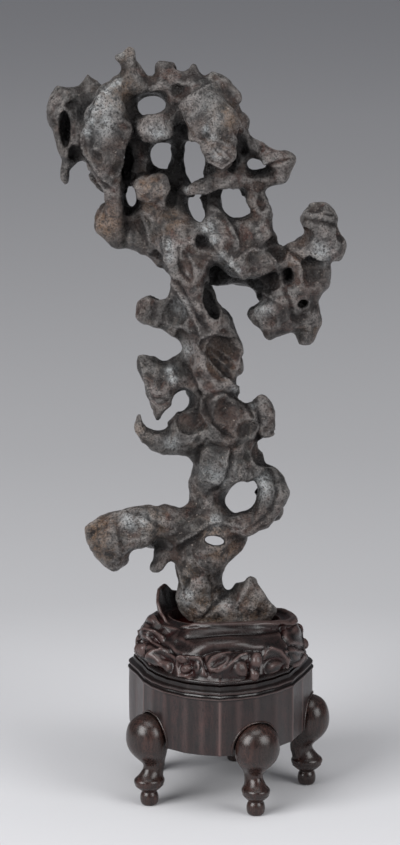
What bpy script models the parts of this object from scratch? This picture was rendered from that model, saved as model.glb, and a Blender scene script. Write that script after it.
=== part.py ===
"""Scholar's rock in its carved wooden stand. Metres, +Z up, front towards -Y."""

import math

import bmesh
import bpy
import numpy as np
from mathutils import Matrix, Vector, noise
from mathutils.bvhtree import BVHTree

# Driving dimensions, in metres
DRUM_RADIUS = 0.0628
DRUM_BOTTOM = 0.0415
DRUM_RIM = 0.0795
DRUM_TOP = 0.0868
DRUM_HOLLOW_RADIUS = 0.0420
DRUM_HOLLOW_TOP = 0.0720
SEAT_BOTTOM = 0.0871
SOCKET_FLOOR = 0.1105
SOCKET_CENTRE = (0.0020, 0.0020)
SOCKET_HALF = (0.0362, 0.0225)
CLEARANCE = 0.0004
KNEE_RADIUS = 0.0150
KNEE_HEIGHT = 0.0455
KNEE_REACH = 0.0590
POCKET_REACH = 0.0465
LEG_SIDES = 10
LEG_ANGLES = {
    "leg_front": 22.7,
    "leg_right": 98.0,
    "leg_back_right": 170.0,
    "leg_back_left": -128.0,
    "leg_left": -54.5,
}

# The rock is laid out on a sight grid: u runs right and v runs down in steps of
# GRID, seen from SIGHT away and TILT above the level, and y is the depth.
GRID = 0.00064
SIGHT = 2.2
TILT = math.radians(13.0)
SIGHT_TARGET = Vector((-0.0137, 0.0, 0.2456))
SIGHT_CENTRE = (200.0, 422.5)

ROCK_VOXEL = 0.0019
ROCK_TRIANGLES = 5400
SEAT_TRIANGLES = 1300
SCALLOPS = 230
SEED = 7

FORWARD = Vector((0.0, math.cos(TILT), -math.sin(TILT)))
UP = Vector((0.0, math.sin(TILT), math.cos(TILT)))
EYE = SIGHT_TARGET - FORWARD * SIGHT


def at(u, v, y):
    """World point that the sight line through (u, v) meets at depth y (mm)."""
    line = FORWARD * SIGHT + UP * ((SIGHT_CENTRE[1] - v) * GRID)
    line.x += (u - SIGHT_CENTRE[0]) * GRID
    return EYE + line * ((y / 1000 - EYE.y) / line.y)


# Limbs: points (u, v, y in mm, radius in grid steps); depth radius factor last
LIMBS = [
    # Finial, neck and knobs of the head
    ([(128, 44, 0, 5.5), (126, 57, 0, 11), (132, 69, 0, 9), (134, 84, 0, 13)], 1.0),
    ([(117, 83, -2, 5.5), (119, 94, -2, 11)], 1.0),
    ([(88, 71, 4, 4), (90, 81, 4, 8), (95, 97, 2, 12)], 1.0),
    ([(158, 61, 2, 4.5), (160, 70, 2, 7.5), (167, 82, 0, 11)], 1.1),
    ([(165, 83, 0, 12), (178, 82, 0, 13), (192, 86, 0, 15)], 1.2),
    ([(194, 62, 2, 4.5), (196, 73, 2, 8), (203, 84, 0, 14)], 1.0),
    ([(134, 84, 0, 13), (147, 86, 2, 9.5), (165, 86, 0, 10)], 1.3),
    # Left lobe behind, with its prong
    ([(78, 100, 6, 14), (62, 98, 4, 14), (62, 112, 2, 16.5), (68, 135, 2, 13.5),
      (68, 155, 2, 11.5), (66, 173, 0, 6), (66, 187, 0, 2)], 1.3),
    ([(80, 105, 8, 17), (85, 130, 8, 20), (84, 148, 8, 15)], 1.3),
    # Bright front lobe with its drip
    ([(110, 96, -12, 14), (108, 115, -14, 20), (106, 138, -14, 22), (104, 158, -12, 20),
      (106, 174, -10, 14), (112, 192, -8, 8.5), (114, 214, -6, 7), (115, 234, -4, 5),
      (115.5, 246, -4, 1.6)], 0.9),
    ([(102, 207, 0, 7), (105, 218, 0, 10.5), (107, 227, 0, 11), (122, 234, 0, 12),
      (138, 236, 2, 13), (152, 246, 4, 14), (166, 258, 4, 12)], 1.2),
    ([(128, 100, 2, 11), (130, 118, 2, 12), (135, 132, 4, 13), (136, 150, 6, 14),
      (136, 166, 6, 14), (136, 178, 2, 8)], 1.3),
    ([(119, 186, -2, 7), (120, 205, 0, 6), (128, 215, 0, 9), (142, 215, 0, 10)], 1.2),
    ([(100, 172, 6, 13), (102, 184, 6, 9), (116, 196, 4, 8)], 1.2),
    # Small lobe between the upper holes
    ([(144, 128, -4, 13), (157, 127, -8, 14), (168, 124, -4, 12)], 1.0),
    ([(138, 134, 8, 12), (160, 133, 10, 12), (182, 130, 8, 13), (196, 130, 6, 12)], 1.3),
    ([(176, 92, 0, 12), (176, 108, 0, 11), (180, 125, 6, 12)], 1.4),
    # Back wall behind the two middle holes
    ([(178, 125, 14, 10), (178, 147, 15, 8), (178, 166, 15, 8.5), (180, 184, 12, 12)], 1.6),
    ([(138, 180, 8, 12), (158, 182, 8, 13), (182, 186, 8, 11)], 1.3),
    # Big right lobe with its tongue
    ([(197, 95, -8, 18), (205, 110, -12, 25), (213, 126, -14, 26), (216, 145, -14, 20),
      (220, 158, -14, 12), (222, 166, -12, 6)], 1.0),
    ([(212, 90, 0, 13), (222, 96, 2, 13.5), (228, 112, 4, 14.5), (236, 131, 4, 14.5),
      (240, 148, 4, 12), (238, 165, 4, 9)], 1.5),
    ([(210, 150, 6, 8), (212, 172, 6, 8)], 1.5),
    # Nose lobe
    ([(184, 188, -16, 2.5), (195, 187, -14, 7.5), (208, 184, -12, 11), (222, 181, -8, 11.5),
      (238, 180, -4, 10)], 0.9),
    ([(187, 190, -10, 8), (184, 190, 0, 10), (184, 186, 12, 11)], 1.0),
    # Orange lump under the second hole
    ([(144, 188, -10, 13.5), (158, 188, -14, 15.5), (163, 198, -10, 10)], 0.9),
    # Right arm, passing over and under its hole
    ([(246, 146, 2, 11), (258, 150, 0, 8), (272, 157, -4, 11), (283, 162, -2, 11.5),
      (281, 174, 0, 11), (268, 178, 2, 8.5), (256, 180, 2, 9), (244, 178, 2, 9.5)], 1.2),
    ([(258, 186, 2, 8), (256, 199, 2, 11), (261, 210, 0, 10), (262, 222, 0, 11),
      (262, 238, 0, 16)], 1.3),
    # Strips round the lower holes of the head
    ([(214, 186, 4, 11), (213, 203, 5, 10), (213, 218, 2, 11)], 1.5),
    ([(176, 194, 6, 12), (178, 208, 4, 13), (181, 224, 0, 15)], 1.5),
    ([(205, 230, -2, 12), (234, 231, 2, 15), (254, 226, 2, 14)], 1.4),
    ([(150, 200, 2, 14), (158, 220, 0, 16), (168, 240, -4, 16)], 1.3),
    # Middle mass and trunk
    ([(185, 236, -6, 18), (188, 256, -6, 23), (188, 280, -4, 23.5), (191, 305, -2, 22),
      (206, 330, -2, 28), (213, 351, 0, 31), (214, 374, 2, 27), (216, 392, 0, 23)], 1.15),
    ([(204, 234, -2, 13), (221, 245, -2, 23), (240, 256, 0, 23), (258, 261, 2, 21),
      (276, 262, 4, 18)], 1.2),
    # Right hanging mass with its ball
    ([(320, 222, -8, 17.5), (331, 240, -6, 16), (337, 249, -4, 13)], 1.1),
    ([(318, 246, -4, 18), (301, 258, 0, 18), (285, 262, 2, 18)], 1.2),
    ([(318, 266, 0, 13), (318, 281, 0, 13), (300, 287, 0, 21), (286, 299, -2, 24),
      (275, 310, -4, 21), (264, 315, -2, 14), (256, 314, 0, 8)], 1.15),
    ([(300, 306, 2, 17), (308, 324, 2, 13.5), (304, 338, 2, 8), (299, 346, 2, 2.5)], 1.2),
    ([(290, 322, -2, 13), (272, 328, -2, 11), (268, 342, -2, 2.5)], 1.1),
    # Left lumps of the trunk
    ([(160, 302, -4, 13), (150, 312, -4, 14.5), (166, 314, -4, 13.5), (182, 322, -4, 14)], 1.1),
    ([(190, 366, 2, 17), (170, 377, 0, 17), (153, 368, -2, 12.5), (146, 361, -2, 7),
      (153, 368, -2, 12.5), (160, 388, -2, 12.5), (163, 402, -4, 9.5), (158, 414, -4, 4.5),
      (156.5, 421, -4, 1.5)], 1.1),
    # Lower trunk, right slab and left hook
    ([(216, 392, 2, 24), (219, 412, 2, 28), (222, 436, 2, 32), (227, 460, 2, 34)], 1.05),
    ([(262, 402, -6, 8.5), (265, 415, -6, 11), (267, 431, -4, 11), (252, 428, -2, 15),
      (250, 412, -2, 11)], 1.1),
    ([(192, 434, -2, 20), (176, 438, -4, 14.5), (156, 442, -6, 9.5), (143, 435, -6, 8.5),
      (138, 425, -6, 5), (138, 416, -6, 2.5)], 1.1),
    ([(188, 420, -2, 14), (177, 424, -4, 11)], 1.1),
    # Ring round the lower hole
    ([(208, 476, 2, 18), (207, 494, 2, 17.5), (212, 512, 0, 17), (228, 524, -4, 12.5),
      (246, 525, -6, 11.5), (262, 518, -6, 13), (270, 503, -4, 17), (272, 492, -2, 18.5),
      (264, 474, 0, 13), (250, 464, 0, 15)], 1.15),
    # Lower left foot of the mass
    ([(206, 522, 0, 20), (188, 523, -2, 16.5), (170, 524, -4, 17), (150, 523, -6, 19.5),
      (132, 526, -8, 22), (112, 539, -8, 24), (113, 552, -8, 17)], 1.05),
    ([(120, 535, -8, 19), (102, 536, -6, 18.5)], 1.0),
    ([(166, 545, -4, 11), (159, 556, -4, 8), (154, 568, -4, 4)], 1.0),
    # Foot
    ([(232, 541, 0, 17), (206, 541, 2, 32), (200, 556, 2, 28), (198, 572, 2, 25),
      (199, 588, 2, 26), (206, 606, 2, 26)], 0.95),
    ([(228, 603, 0, 15), (246, 596, 0, 15), (255, 602, 0, 13), (265, 609, 0, 7.5),
      (271, 612.5, 0, 4)], 1.2),
    ([(200, 618, 2, 23), (236, 618, 2, 22), (262, 616, 2, 11)], 1.1),
    # Masses on the far side
    ([(92, 96, 20, 14), (84, 122, 26, 22), (98, 148, 26, 20), (118, 170, 20, 14),
      (128, 216, 14, 12), (158, 228, 18, 18), (186, 244, 22, 22)], 1.1),
    ([(132, 88, 16, 14), (158, 86, 22, 13), (190, 90, 26, 17), (216, 106, 30, 20),
      (230, 132, 28, 16), (236, 166, 22, 14), (252, 190, 16, 12)], 1.2),
    ([(196, 246, 22, 22), (222, 262, 26, 22), (256, 268, 24, 20), (290, 274, 20, 19),
      (314, 262, 18, 16)], 1.15),
    ([(192, 270, 20, 20), (186, 300, 18, 18), (200, 330, 20, 20), (216, 360, 24, 24),
      (208, 396, 22, 24), (222, 430, 24, 28), (226, 456, 22, 26)], 1.05),
    ([(210, 480, 20, 17), (208, 510, 20, 17), (204, 540, 18, 26), (178, 536, 16, 18),
      (150, 532, 12, 17)], 1.1),
    ([(270, 482, 16, 14), (270, 508, 14, 14)], 1.0),
    ([(100, 108, 36, 13), (92, 128, 40, 15)], 1.0),
    ([(150, 84, 32, 9), (164, 96, 34, 12), (178, 92, 36, 8)], 1.0),
    ([(220, 112, 42, 14), (228, 142, 36, 13), (226, 160, 30, 9)], 1.0),
    ([(160, 222, 30, 14), (178, 246, 36, 14), (198, 238, 34, 9)], 1.1),
    ([(240, 256, 38, 14), (268, 278, 34, 13), (262, 296, 26, 7)], 1.1),
    ([(196, 316, 32, 13), (214, 340, 36, 15), (232, 366, 36, 12)], 1.1),
    ([(196, 408, 34, 12), (214, 420, 40, 14), (240, 436, 38, 12), (246, 452, 32, 7)], 1.1),
    ([(200, 500, 30, 12), (212, 524, 34, 15), (228, 548, 26, 12)], 1.1),
    ([(132, 526, 12, 14), (116, 540, 14, 15)], 1.1),
    ([(186, 564, 16, 14), (208, 590, 16, 14)], 1.1),
]

# Through holes: (u, v, half width, half height, turn in degrees)
HOLES = [
    (152, 105, 14, 9, 4),
    (161, 155, 10.5, 12.5, 0),
    (194.5, 160, 10.5, 18, 4),
    (253.5, 164, 6.5, 5.8, 0),
    (197, 210, 7, 13, -24),
    (234, 203, 11.8, 12.3, 20),
    (131, 196, 5, 11, 6),
    (239, 497, 13, 17, -26),
    (214.5, 540.5, 10.5, 4.8, -8),
]

# Hollows: (u, v, y, half width, half height, half depth in mm, direction)
HOLLOWS = [
    (63, 130, -14, 6, 23, 9, (0.2, 1, 0)),
    (178, 158, -16, 8, 26, 16, (0, 1, 0)),
    (176, 92, -15, 11, 10, 9, (0, 1, 0)),
    (224, 358, -20, 20, 26, 15, (-0.5, 1, 0)),
    (186, 266, -22, 8, 17, 7, (0, 1, 0)),
    (229, 412, -21, 24, 18, 8, (0, 1, 0.1)),
    (289, 276, -14, 7, 9, 9, (0, 1, 0)),
    (298, 307, -13, 5, 7, 7, (0, 1, 0)),
    (150, 240, -12, 12, 7, 7, (0, 1, 0.3)),
    (214, 226, -15, 13, 9, 8, (0, 1, 0)),
    (240, 145, -10, 9, 16, 8, (0, 1, 0)),
    (262, 200, -8, 7, 12, 6, (0, 1, 0)),
    (246, 238, -17, 15, 7, 7, (0, 1, 0)),
    (212, 300, -14, 10, 22, 9, (-0.5, 1, 0)),
    (163, 340, -8, 12, 8, 9, (0.4, 1, 0.3)),
    (196, 400, -16, 14, 10, 8, (0, 1, 0)),
    (246, 446, -20, 14, 10, 8, (0, 1, 0)),
    (206, 456, -23, 12, 10, 7, (0, 1, 0)),
    (176, 532, -18, 16, 9, 7, (0, 1, 0)),
    (128, 536, -23, 15, 10, 7, (0, 1, 0)),
    (200, 562, -20, 15, 16, 8, (0, 1, 0)),
    (214, 594, -17, 10, 15, 7, (0, 1, 0)),
    (100, 118, -27, 9, 14, 5, (0, 1, 0)),
]

# Ridges (+) and grooves (-): points (u, v), height in mm, width in mm
STROKES = [
    ([(108, 89), (95, 108), (87, 128), (88, 150)], 2.2, 3.5),
    ([(201, 224), (215, 249), (237, 270), (256, 286), (270, 295)], 2.6, 4.0),
    ([(165, 240), (172, 280), (190, 310), (200, 345), (207, 372), (240, 394), (254, 411)],
     2.4, 4.0),
    ([(279, 246), (304, 263)], -2.2, 3.0),
    ([(155, 545), (190, 533), (235, 520)], 2.4, 3.5),
    ([(258, 470), (276, 486), (276, 504), (262, 522)], 2.0, 3.5),
    ([(180, 100), (186, 128), (202, 150), (220, 166)], 1.6, 3.5),
    ([(164, 262), (170, 240), (176, 222)], 2.0, 3.5),
    ([(136, 190), (150, 177), (168, 182)], 1.8, 3.0),
    ([(246, 150), (262, 164), (274, 158)], 1.8, 2.5),
]

# The drum's plan: corners (degrees from the front, share of DRUM_RADIUS) and,
# for the panel that follows each, how far it bulges beyond the straight line
PLAN = [
    (-104, 1.00, 0.015), (-81, 0.86, 0.0), (-56, 0.885, 0.0), (-23, 0.965, -0.022),
    (-1, 1.005, -0.022), (22.4, 0.94, 0.0), (56, 0.885, 0.0), (76, 0.865, 0.0),
    (101, 0.985, 0.02), (125, 0.93, 0.0), (150, 0.94, -0.02), (172, 1.0, -0.02),
    (196, 0.94, 0.0), (226, 0.90, 0.0),
]


def clear_scene():
    for item in list(bpy.data.objects):
        bpy.data.objects.remove(item, do_unlink=True)
    for group in list(bpy.data.collections):
        bpy.data.collections.remove(group)


def new_collection(name):
    group = bpy.data.collections.new(name)
    bpy.context.scene.collection.children.link(group)
    return group


def material(name, colour, roughness):
    made = bpy.data.materials.new(name)
    made.use_nodes = True
    node = made.node_tree.nodes["Principled BSDF"]
    node.inputs["Base Color"].default_value = (*colour, 1.0)
    node.inputs["Roughness"].default_value = roughness
    node.inputs["Metallic"].default_value = 0.0
    made.diffuse_color = (*colour, 1.0)
    return made


def add_object(name, mesh, group):
    made = bpy.data.objects.new(name, mesh)
    group.objects.link(made)
    return made


def from_bmesh(name, bm, group):
    mesh = bpy.data.meshes.new(name)
    bm.to_mesh(mesh)
    bm.free()
    return add_object(name, mesh, group)


def face_out(bm):
    bmesh.ops.recalc_face_normals(bm, faces=bm.faces)
    if bm.calc_volume(signed=True) < 0:
        bmesh.ops.reverse_faces(bm, faces=bm.faces)


def apply_modifiers(obj):
    graph = bpy.context.evaluated_depsgraph_get()
    graph.update()
    mesh = bpy.data.meshes.new_from_object(obj.evaluated_get(graph))
    obj.modifiers.clear()
    obj.data = mesh


def boolean(obj, cutter, solver="EXACT"):
    step = obj.modifiers.new("cut", "BOOLEAN")
    step.operation = "DIFFERENCE"
    step.solver = solver
    step.object = cutter
    apply_modifiers(obj)
    bpy.data.objects.remove(cutter, do_unlink=True)


def keep_largest(obj):
    """Drops any loose scrap or sealed bubble, keeping the largest piece."""
    bm = bmesh.new()
    bm.from_mesh(obj.data)
    left = set(bm.verts)
    pieces = []
    while left:
        stack = [left.pop()]
        piece = []
        while stack:
            vert = stack.pop()
            piece.append(vert)
            for edge in vert.link_edges:
                other = edge.other_vert(vert)
                if other in left:
                    left.remove(other)
                    stack.append(other)
        pieces.append(piece)
    pieces.sort(key=len)
    for piece in pieces[:-1]:
        bmesh.ops.delete(bm, geom=piece, context="VERTS")
    bm.to_mesh(obj.data)
    bm.free()


def coordinates(mesh):
    points = np.empty(len(mesh.vertices) * 3)
    mesh.vertices.foreach_get("co", points)
    return points.reshape(-1, 3)


def normals(mesh):
    found = np.empty(len(mesh.vertices) * 3)
    mesh.vertices.foreach_get("normal", found)
    return found.reshape(-1, 3)


def store(mesh, points):
    mesh.vertices.foreach_set("co", points.reshape(-1))
    mesh.update()


def limb_spheres(points, depth):
    """Ball centres and radii closely spaced along a limb."""
    balls = []
    for start, end in zip(points, points[1:]):
        a, b = at(*start[:3]), at(*end[:3])
        reach = max((b - a).length, 1e-6)
        steps = max(1, math.ceil(reach / (0.45 * min(start[3], end[3]) * GRID + 0.0008)))
        for k in range(steps + 1):
            t = k / steps
            balls.append((a.lerp(b, t), (start[3] * (1 - t) + end[3] * t) * GRID, depth))
    return balls


def raw_rock(group):
    bm = bmesh.new()
    for points, depth in LIMBS:
        for centre, radius, factor in limb_spheres(points, depth):
            place = Matrix.Translation(centre) @ Matrix.Diagonal((1, factor, 1, 1))
            bmesh.ops.create_icosphere(bm, subdivisions=2, radius=radius * 1.02, matrix=place)
    return from_bmesh("rock", bm, group)


def remesh(obj, voxel):
    step = obj.modifiers.new("remesh", "REMESH")
    step.mode = "VOXEL"
    step.voxel_size = voxel
    step.adaptivity = 0.0
    apply_modifiers(obj)
    keep_largest(obj)


def smooth(obj, factor, rounds):
    step = obj.modifiers.new("smooth", "SMOOTH")
    step.factor = factor
    step.iterations = rounds
    apply_modifiers(obj)


def frame_of(way, turn=0.0):
    """Axes of an ellipsoid: side, way and rise, turned about way."""
    way = Vector(way).normalized()
    side = way.cross((0, 0, 1) if abs(way.z) < 0.9 else (1, 0, 0)).normalized()
    rise = side.cross(way)
    c, s = math.cos(turn), math.sin(turn)
    return Matrix((side * c + rise * s, way, rise * c - side * s)).transposed()


def cut_bowls(rock, bowls, group):
    """Cuts ellipsoids (centre, axes, half sizes) away, in batches that don't meet."""
    batches = []
    for centre, axes, halves in bowls:
        reach = max(halves)
        for batch in batches:
            if all((centre - c).length > reach + r for c, r, _ in batch):
                break
        else:
            batch = []
            batches.append(batch)
        place = Matrix.Translation(centre) @ (axes @ Matrix.Diagonal(halves)).to_4x4()
        batch.append((centre, reach, place))
    for batch in batches:
        bm = bmesh.new()
        for _, _, place in batch:
            bmesh.ops.create_icosphere(bm, subdivisions=3, radius=1.0, matrix=place)
        face_out(bm)
        boolean(rock, from_bmesh("bowls", bm, group), "MANIFOLD")


def hollows():
    """The hollows named one by one."""
    found = []
    for u, v, y, wide, high, deep, way in HOLLOWS:
        halves = Vector((wide * GRID, deep / 1000, high * GRID))
        found.append((at(u, v, y), frame_of(way), halves))
    return found


def scallops(rock, count, seed, sizes):
    """Shallow bowls all over the skin, no deeper than the stone there allows."""
    chooser = np.random.default_rng(seed)
    points, facing = coordinates(rock.data), normals(rock.data)
    tree = BVHTree.FromPolygons(points.tolist(), [tuple(p.vertices) for p in rock.data.polygons])
    found = []
    for index in chooser.integers(len(points), size=count):
        spot, way = Vector(points[index]), -Vector(facing[index])
        size = chooser.uniform(*sizes)
        long, turn = chooser.uniform(1.0, 1.9), chooser.uniform(0, math.pi)
        sunk = size * 0.8 * chooser.uniform(0.30, 0.55)
        thick = tree.ray_cast(spot + way * 0.0002, way)[3] or 0.0
        sunk = min(sunk, thick * 0.28)
        if spot.z < 0.128 or sunk < 0.0006:
            continue
        halves = Vector((size, size * 0.8, size * long))
        found.append((spot - way * (halves.y - sunk), frame_of(way, turn), halves))
    return found


def roughen(rock, height, scale):
    """Uneven swelling of the skin, so that no limb stays a smooth tube."""
    points, facing = coordinates(rock.data), normals(rock.data)
    for k, (point, normal) in enumerate(zip(points, facing)):
        lift = noise.fractal(Vector(point) * scale, 0.8, 2.0, 3)
        points[k] += normal * (height * lift)
    store(rock.data, points)


def stroke(points, facing, line, height, width):
    """Raises or sinks the front skin along a line of sight-grid points."""
    front = facing[:, 1] < -0.1
    best = np.full(len(points), 9.9)
    for (u0, v0), (u1, v1) in zip(line, line[1:]):
        a, b = np.array(at(u0, v0, -15)), np.array(at(u1, v1, -15))
        a, b = a[[0, 2]], b[[0, 2]]
        p = points[:, [0, 2]]
        t = np.clip(((p - a) @ (b - a)) / ((b - a) @ (b - a)), 0, 1)
        best = np.minimum(best, np.linalg.norm(p - a - t[:, None] * (b - a), axis=1))
    amount = height / 1000 * np.exp(-(best / (width / 1000)) ** 2)
    points[front] += (amount[:, None] * facing)[front]


def seat_foot(points):
    """Keeps the foot inside the socket and flattens its underside."""
    low = points[:, 2] < 0.127
    x = (points[:, 0] - SOCKET_CENTRE[0]) / (SOCKET_HALF[0] - CLEARANCE)
    y = (points[:, 1] - SOCKET_CENTRE[1]) / (SOCKET_HALF[1] - CLEARANCE)
    far = np.sqrt(x * x + y * y)
    move = low & (far > 1.0)
    for axis in (0, 1):
        offset = points[move, axis] - SOCKET_CENTRE[axis]
        points[move, axis] = SOCKET_CENTRE[axis] + offset / far[move]
    points[:, 2] = np.maximum(points[:, 2], SOCKET_FLOOR + CLEARANCE)


def hole_cutter(u, v, wide, high, turn):
    near, far = at(u, v, -90), at(u, v, 90)
    line = (far - near).normalized()
    side = Vector((1, 0, 0))
    side = (side - line * side.dot(line)).normalized()
    rise = line.cross(side)
    turned = math.radians(turn)
    a = side * math.cos(turned) - rise * math.sin(turned)
    b = rise * math.cos(turned) + side * math.sin(turned)
    bm = bmesh.new()
    bmesh.ops.create_cone(bm, cap_ends=True, segments=20, radius1=1, radius2=1, depth=1)
    for vert in bm.verts:
        x, y, z = vert.co
        vert.co = near.lerp(far, z + 0.5) + (a * x * wide + b * y * high) * GRID
    face_out(bm)
    return bm


def make_rock(group, stone):
    rock = raw_rock(group)
    remesh(rock, ROCK_VOXEL)
    smooth(rock, 0.5, 4)
    roughen(rock, 0.0042, 55.0)
    remesh(rock, ROCK_VOXEL)
    for hole in HOLES:
        boolean(rock, from_bmesh("hole", hole_cutter(*hole), group), "MANIFOLD")
    cut_bowls(rock, hollows(), group)
    cut_bowls(rock, scallops(rock, SCALLOPS, SEED, (0.0055, 0.0125)), group)
    remesh(rock, ROCK_VOXEL)
    points = coordinates(rock.data)
    for line, height, width in STROKES:
        stroke(points, normals(rock.data), line, height, width)
    seat_foot(points)
    store(rock.data, points)
    smooth(rock, 0.5, 1)
    remesh(rock, ROCK_VOXEL)
    step = rock.modifiers.new("lighten", "DECIMATE")
    step.ratio = ROCK_TRIANGLES / (2 * len(rock.data.polygons))
    apply_modifiers(rock)
    points = coordinates(rock.data)
    seat_foot(points)
    store(rock.data, points)
    rock.data.materials.clear()
    rock.data.materials.append(stone)
    return rock


def plan_point(angle, radius):
    turn = math.radians(angle)
    return Vector((radius * math.sin(turn), -radius * math.cos(turn), 0.0))


def plan_outline():
    """The lobed outline of the drum, seen from above, as points round the axis."""
    outline = []
    for k, (angle, share, bulge) in enumerate(PLAN):
        after, share_after, _ = PLAN[(k + 1) % len(PLAN)]
        after += 360 if after < angle else 0
        a = plan_point(angle, share * DRUM_RADIUS)
        b = plan_point(after, share_after * DRUM_RADIUS)
        steps = 4 if bulge else 2
        for j in range(steps):
            t = j / steps
            spot = a.lerp(b, t)
            spot += spot.normalized() * (4 * t * (1 - t) * bulge * DRUM_RADIUS)
            outline.append(spot)
    return outline


def lofted(name, rings, group):
    """A closed skin over rings of points; each ring is a circle moved onto its points."""
    bm = bmesh.new()
    edges = []
    for points in rings:
        ring = bmesh.ops.create_circle(bm, segments=len(points), radius=1.0)["verts"]
        for vert, point in zip(ring, points):
            vert.co = point
        edges += list({edge for vert in ring for edge in vert.link_edges})
    bmesh.ops.bridge_loops(bm, edges=edges)
    bmesh.ops.holes_fill(bm, edges=[edge for edge in bm.edges if edge.is_boundary])
    face_out(bm)
    return from_bmesh(name, bm, group)


def stack(name, outline, levels, group):
    """A solid of scaled copies of an outline: levels are (height, scale)."""
    rings = []
    for height, scale in levels:
        rings.append([Vector((p.x * scale, p.y * scale, height)) for p in outline])
    return lofted(name, rings, group)


def cylinder(name, radius, low, high, group, segments=32, scale=(1, 1), centre=(0, 0)):
    bm = bmesh.new()
    bmesh.ops.create_cone(bm, cap_ends=True, segments=segments, radius1=radius,
                          radius2=radius, depth=high - low)
    for vert in bm.verts:
        vert.co.x = vert.co.x * scale[0] + centre[0]
        vert.co.y = vert.co.y * scale[1] + centre[1]
        vert.co.z += (low + high) / 2
    return from_bmesh(name, bm, group)


def make_drum(group, wood):
    levels = [
        (DRUM_BOTTOM, 0.985), (DRUM_BOTTOM + 0.002, 1.0), (DRUM_RIM - 0.001, 1.0),
        (DRUM_RIM, 0.985), (DRUM_RIM + 0.0008, 1.005), (DRUM_RIM + 0.0030, 1.012),
        (DRUM_RIM + 0.0052, 1.0), (DRUM_RIM + 0.0058, 0.955), (DRUM_TOP, 0.955),
    ]
    drum = stack("stand_drum", plan_outline(), levels, group)
    boolean(drum, cylinder("hollow", DRUM_HOLLOW_RADIUS, 0.03, DRUM_HOLLOW_TOP, group))
    for angle in LEG_ANGLES.values():
        bm = bmesh.new()
        bmesh.ops.create_cone(bm, cap_ends=True, segments=28, radius1=1, radius2=1, depth=1)
        out = plan_point(angle, 1.0)
        side = Vector((-out.y, out.x, 0.0))
        radius = KNEE_RADIUS + 0.0011
        for vert in bm.verts:
            x, y, z = vert.co
            reach = POCKET_REACH + (z + 0.5) * 0.035
            vert.co = out * reach + side * (x * radius)
            vert.co.z = KNEE_HEIGHT + y * radius
        face_out(bm)
        boolean(drum, from_bmesh("pocket", bm, group))
    drum.data.materials.clear()
    drum.data.materials.append(wood)
    return drum


# Leg rings from the foot up: (reach, height, half width, half thickness), mm
LEG_RINGS = [
    (57, 0, 3.4, 3.4), (57, 1, 5.2, 5.2), (57, 4.2, 6.1, 6.1), (57, 7.6, 5.8, 5.8),
    (57, 10.4, 4.5, 4.5), (57, 11.6, 4.6, 5), (57, 14.2, 6.8, 7.8), (56.8, 17, 8.9, 10.3),
    (56.7, 18.2, 8.7, 10.1), (55.2, 20.6, 7.1, 8.8), (53.4, 23.4, 5.9, 7.8), (53, 26.2, 5.8, 7.4),
    (54, 29, 7.2, 8), (56.4, 33, 10.7, 10.4), (58.4, 38, 13.6, 12), (59, 44, 15, 12.5),
    (59, 49.6, 14.5, 12.1), (59, 54.2, 12, 10.2), (59, 57.8, 8.1, 7.2), (59, 59.8, 3.4, 3),
]


def ball(bm, reach, height, wide, thick, high, angle, subdivisions=2):
    out = plan_point(angle, 1.0)
    side = Vector((-out.y, out.x, 0.0))
    made = bmesh.ops.create_icosphere(bm, subdivisions=subdivisions, radius=1.0)
    for vert in made["verts"]:
        x, y, z = vert.co
        vert.co = out * (reach + y * thick) + side * (x * wide)
        vert.co.z = height + z * high


def make_leg(name, angle, group, wood):
    """Ball knee, narrow neck, turned-out pad and ball foot as one lofted piece."""
    out = plan_point(angle, 1.0)
    side = Vector((-out.y, out.x, 0.0))
    rings = []
    for reach, height, wide, thick in LEG_RINGS:
        inner = POCKET_REACH * 1000 + 0.3 if height > 33.5 else 0.0
        ring = []
        for k in range(LEG_SIDES):
            turn = math.tau * k / LEG_SIDES
            depth = max(reach + math.sin(turn) * thick, inner) / 1000
            spot = out * depth + side * (math.cos(turn) * wide / 1000)
            spot.z = height / 1000
            ring.append(spot)
        rings.append(ring)
    leg = lofted(name, rings, group)
    leg.data.materials.append(wood)
    return leg


# Knobs of the seat: (degrees from the front, reach, height, half width, half height), mm
SEAT_KNOBS = [
    (-24, 53, 97, 5.5, 6.5), (19, 53.5, 97, 5.5, 6.5), (58, 52, 97, 7, 7), (78, 52, 103, 7, 7),
    (98, 53, 96, 7, 8), (124, 51, 98, 6.5, 7), (150, 52, 97, 6, 7), (176, 53, 98, 7, 7),
    (202, 52, 97, 6, 7), (226, 51, 98, 6.5, 7), (250, 53, 96, 7, 8), (276, 52, 101, 7, 7),
    (298, 51, 96, 7, 8), (-84, 46, 113, 7, 7), (-66, 47, 108, 7, 6), (-104, 45, 112, 7, 7),
    (84, 46, 109, 8, 6), (110, 43, 110, 8, 6), (64, 45, 109, 7, 5),
]

# Carved hollows of the seat: (degrees from the front, half width in mm)
SEAT_HOLLOWS = [
    (-42, 8.0), (-2, 8.5), (38, 8.0), (112, 6.5), (137, 6.5), (163, 6.5), (189, 6.5),
    (214, 6.5), (238, 6.5), (263, 6.5), (287, 6.5),
]

# Collar round the foot: (degrees from the front, height), mm
COLLAR = [
    (-180, 117.5), (-150, 121), (-128, 129), (-112, 135), (-97, 134), (-84, 128), (-70, 121),
    (-58, 116.5), (-48, 114.5), (-36, 117), (-24, 119.5), (-10, 120), (10, 120.5), (30, 120.5),
    (50, 119), (70, 117.5), (88, 117), (113, 117.5), (135, 116.5), (155, 116.5),
]

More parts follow.
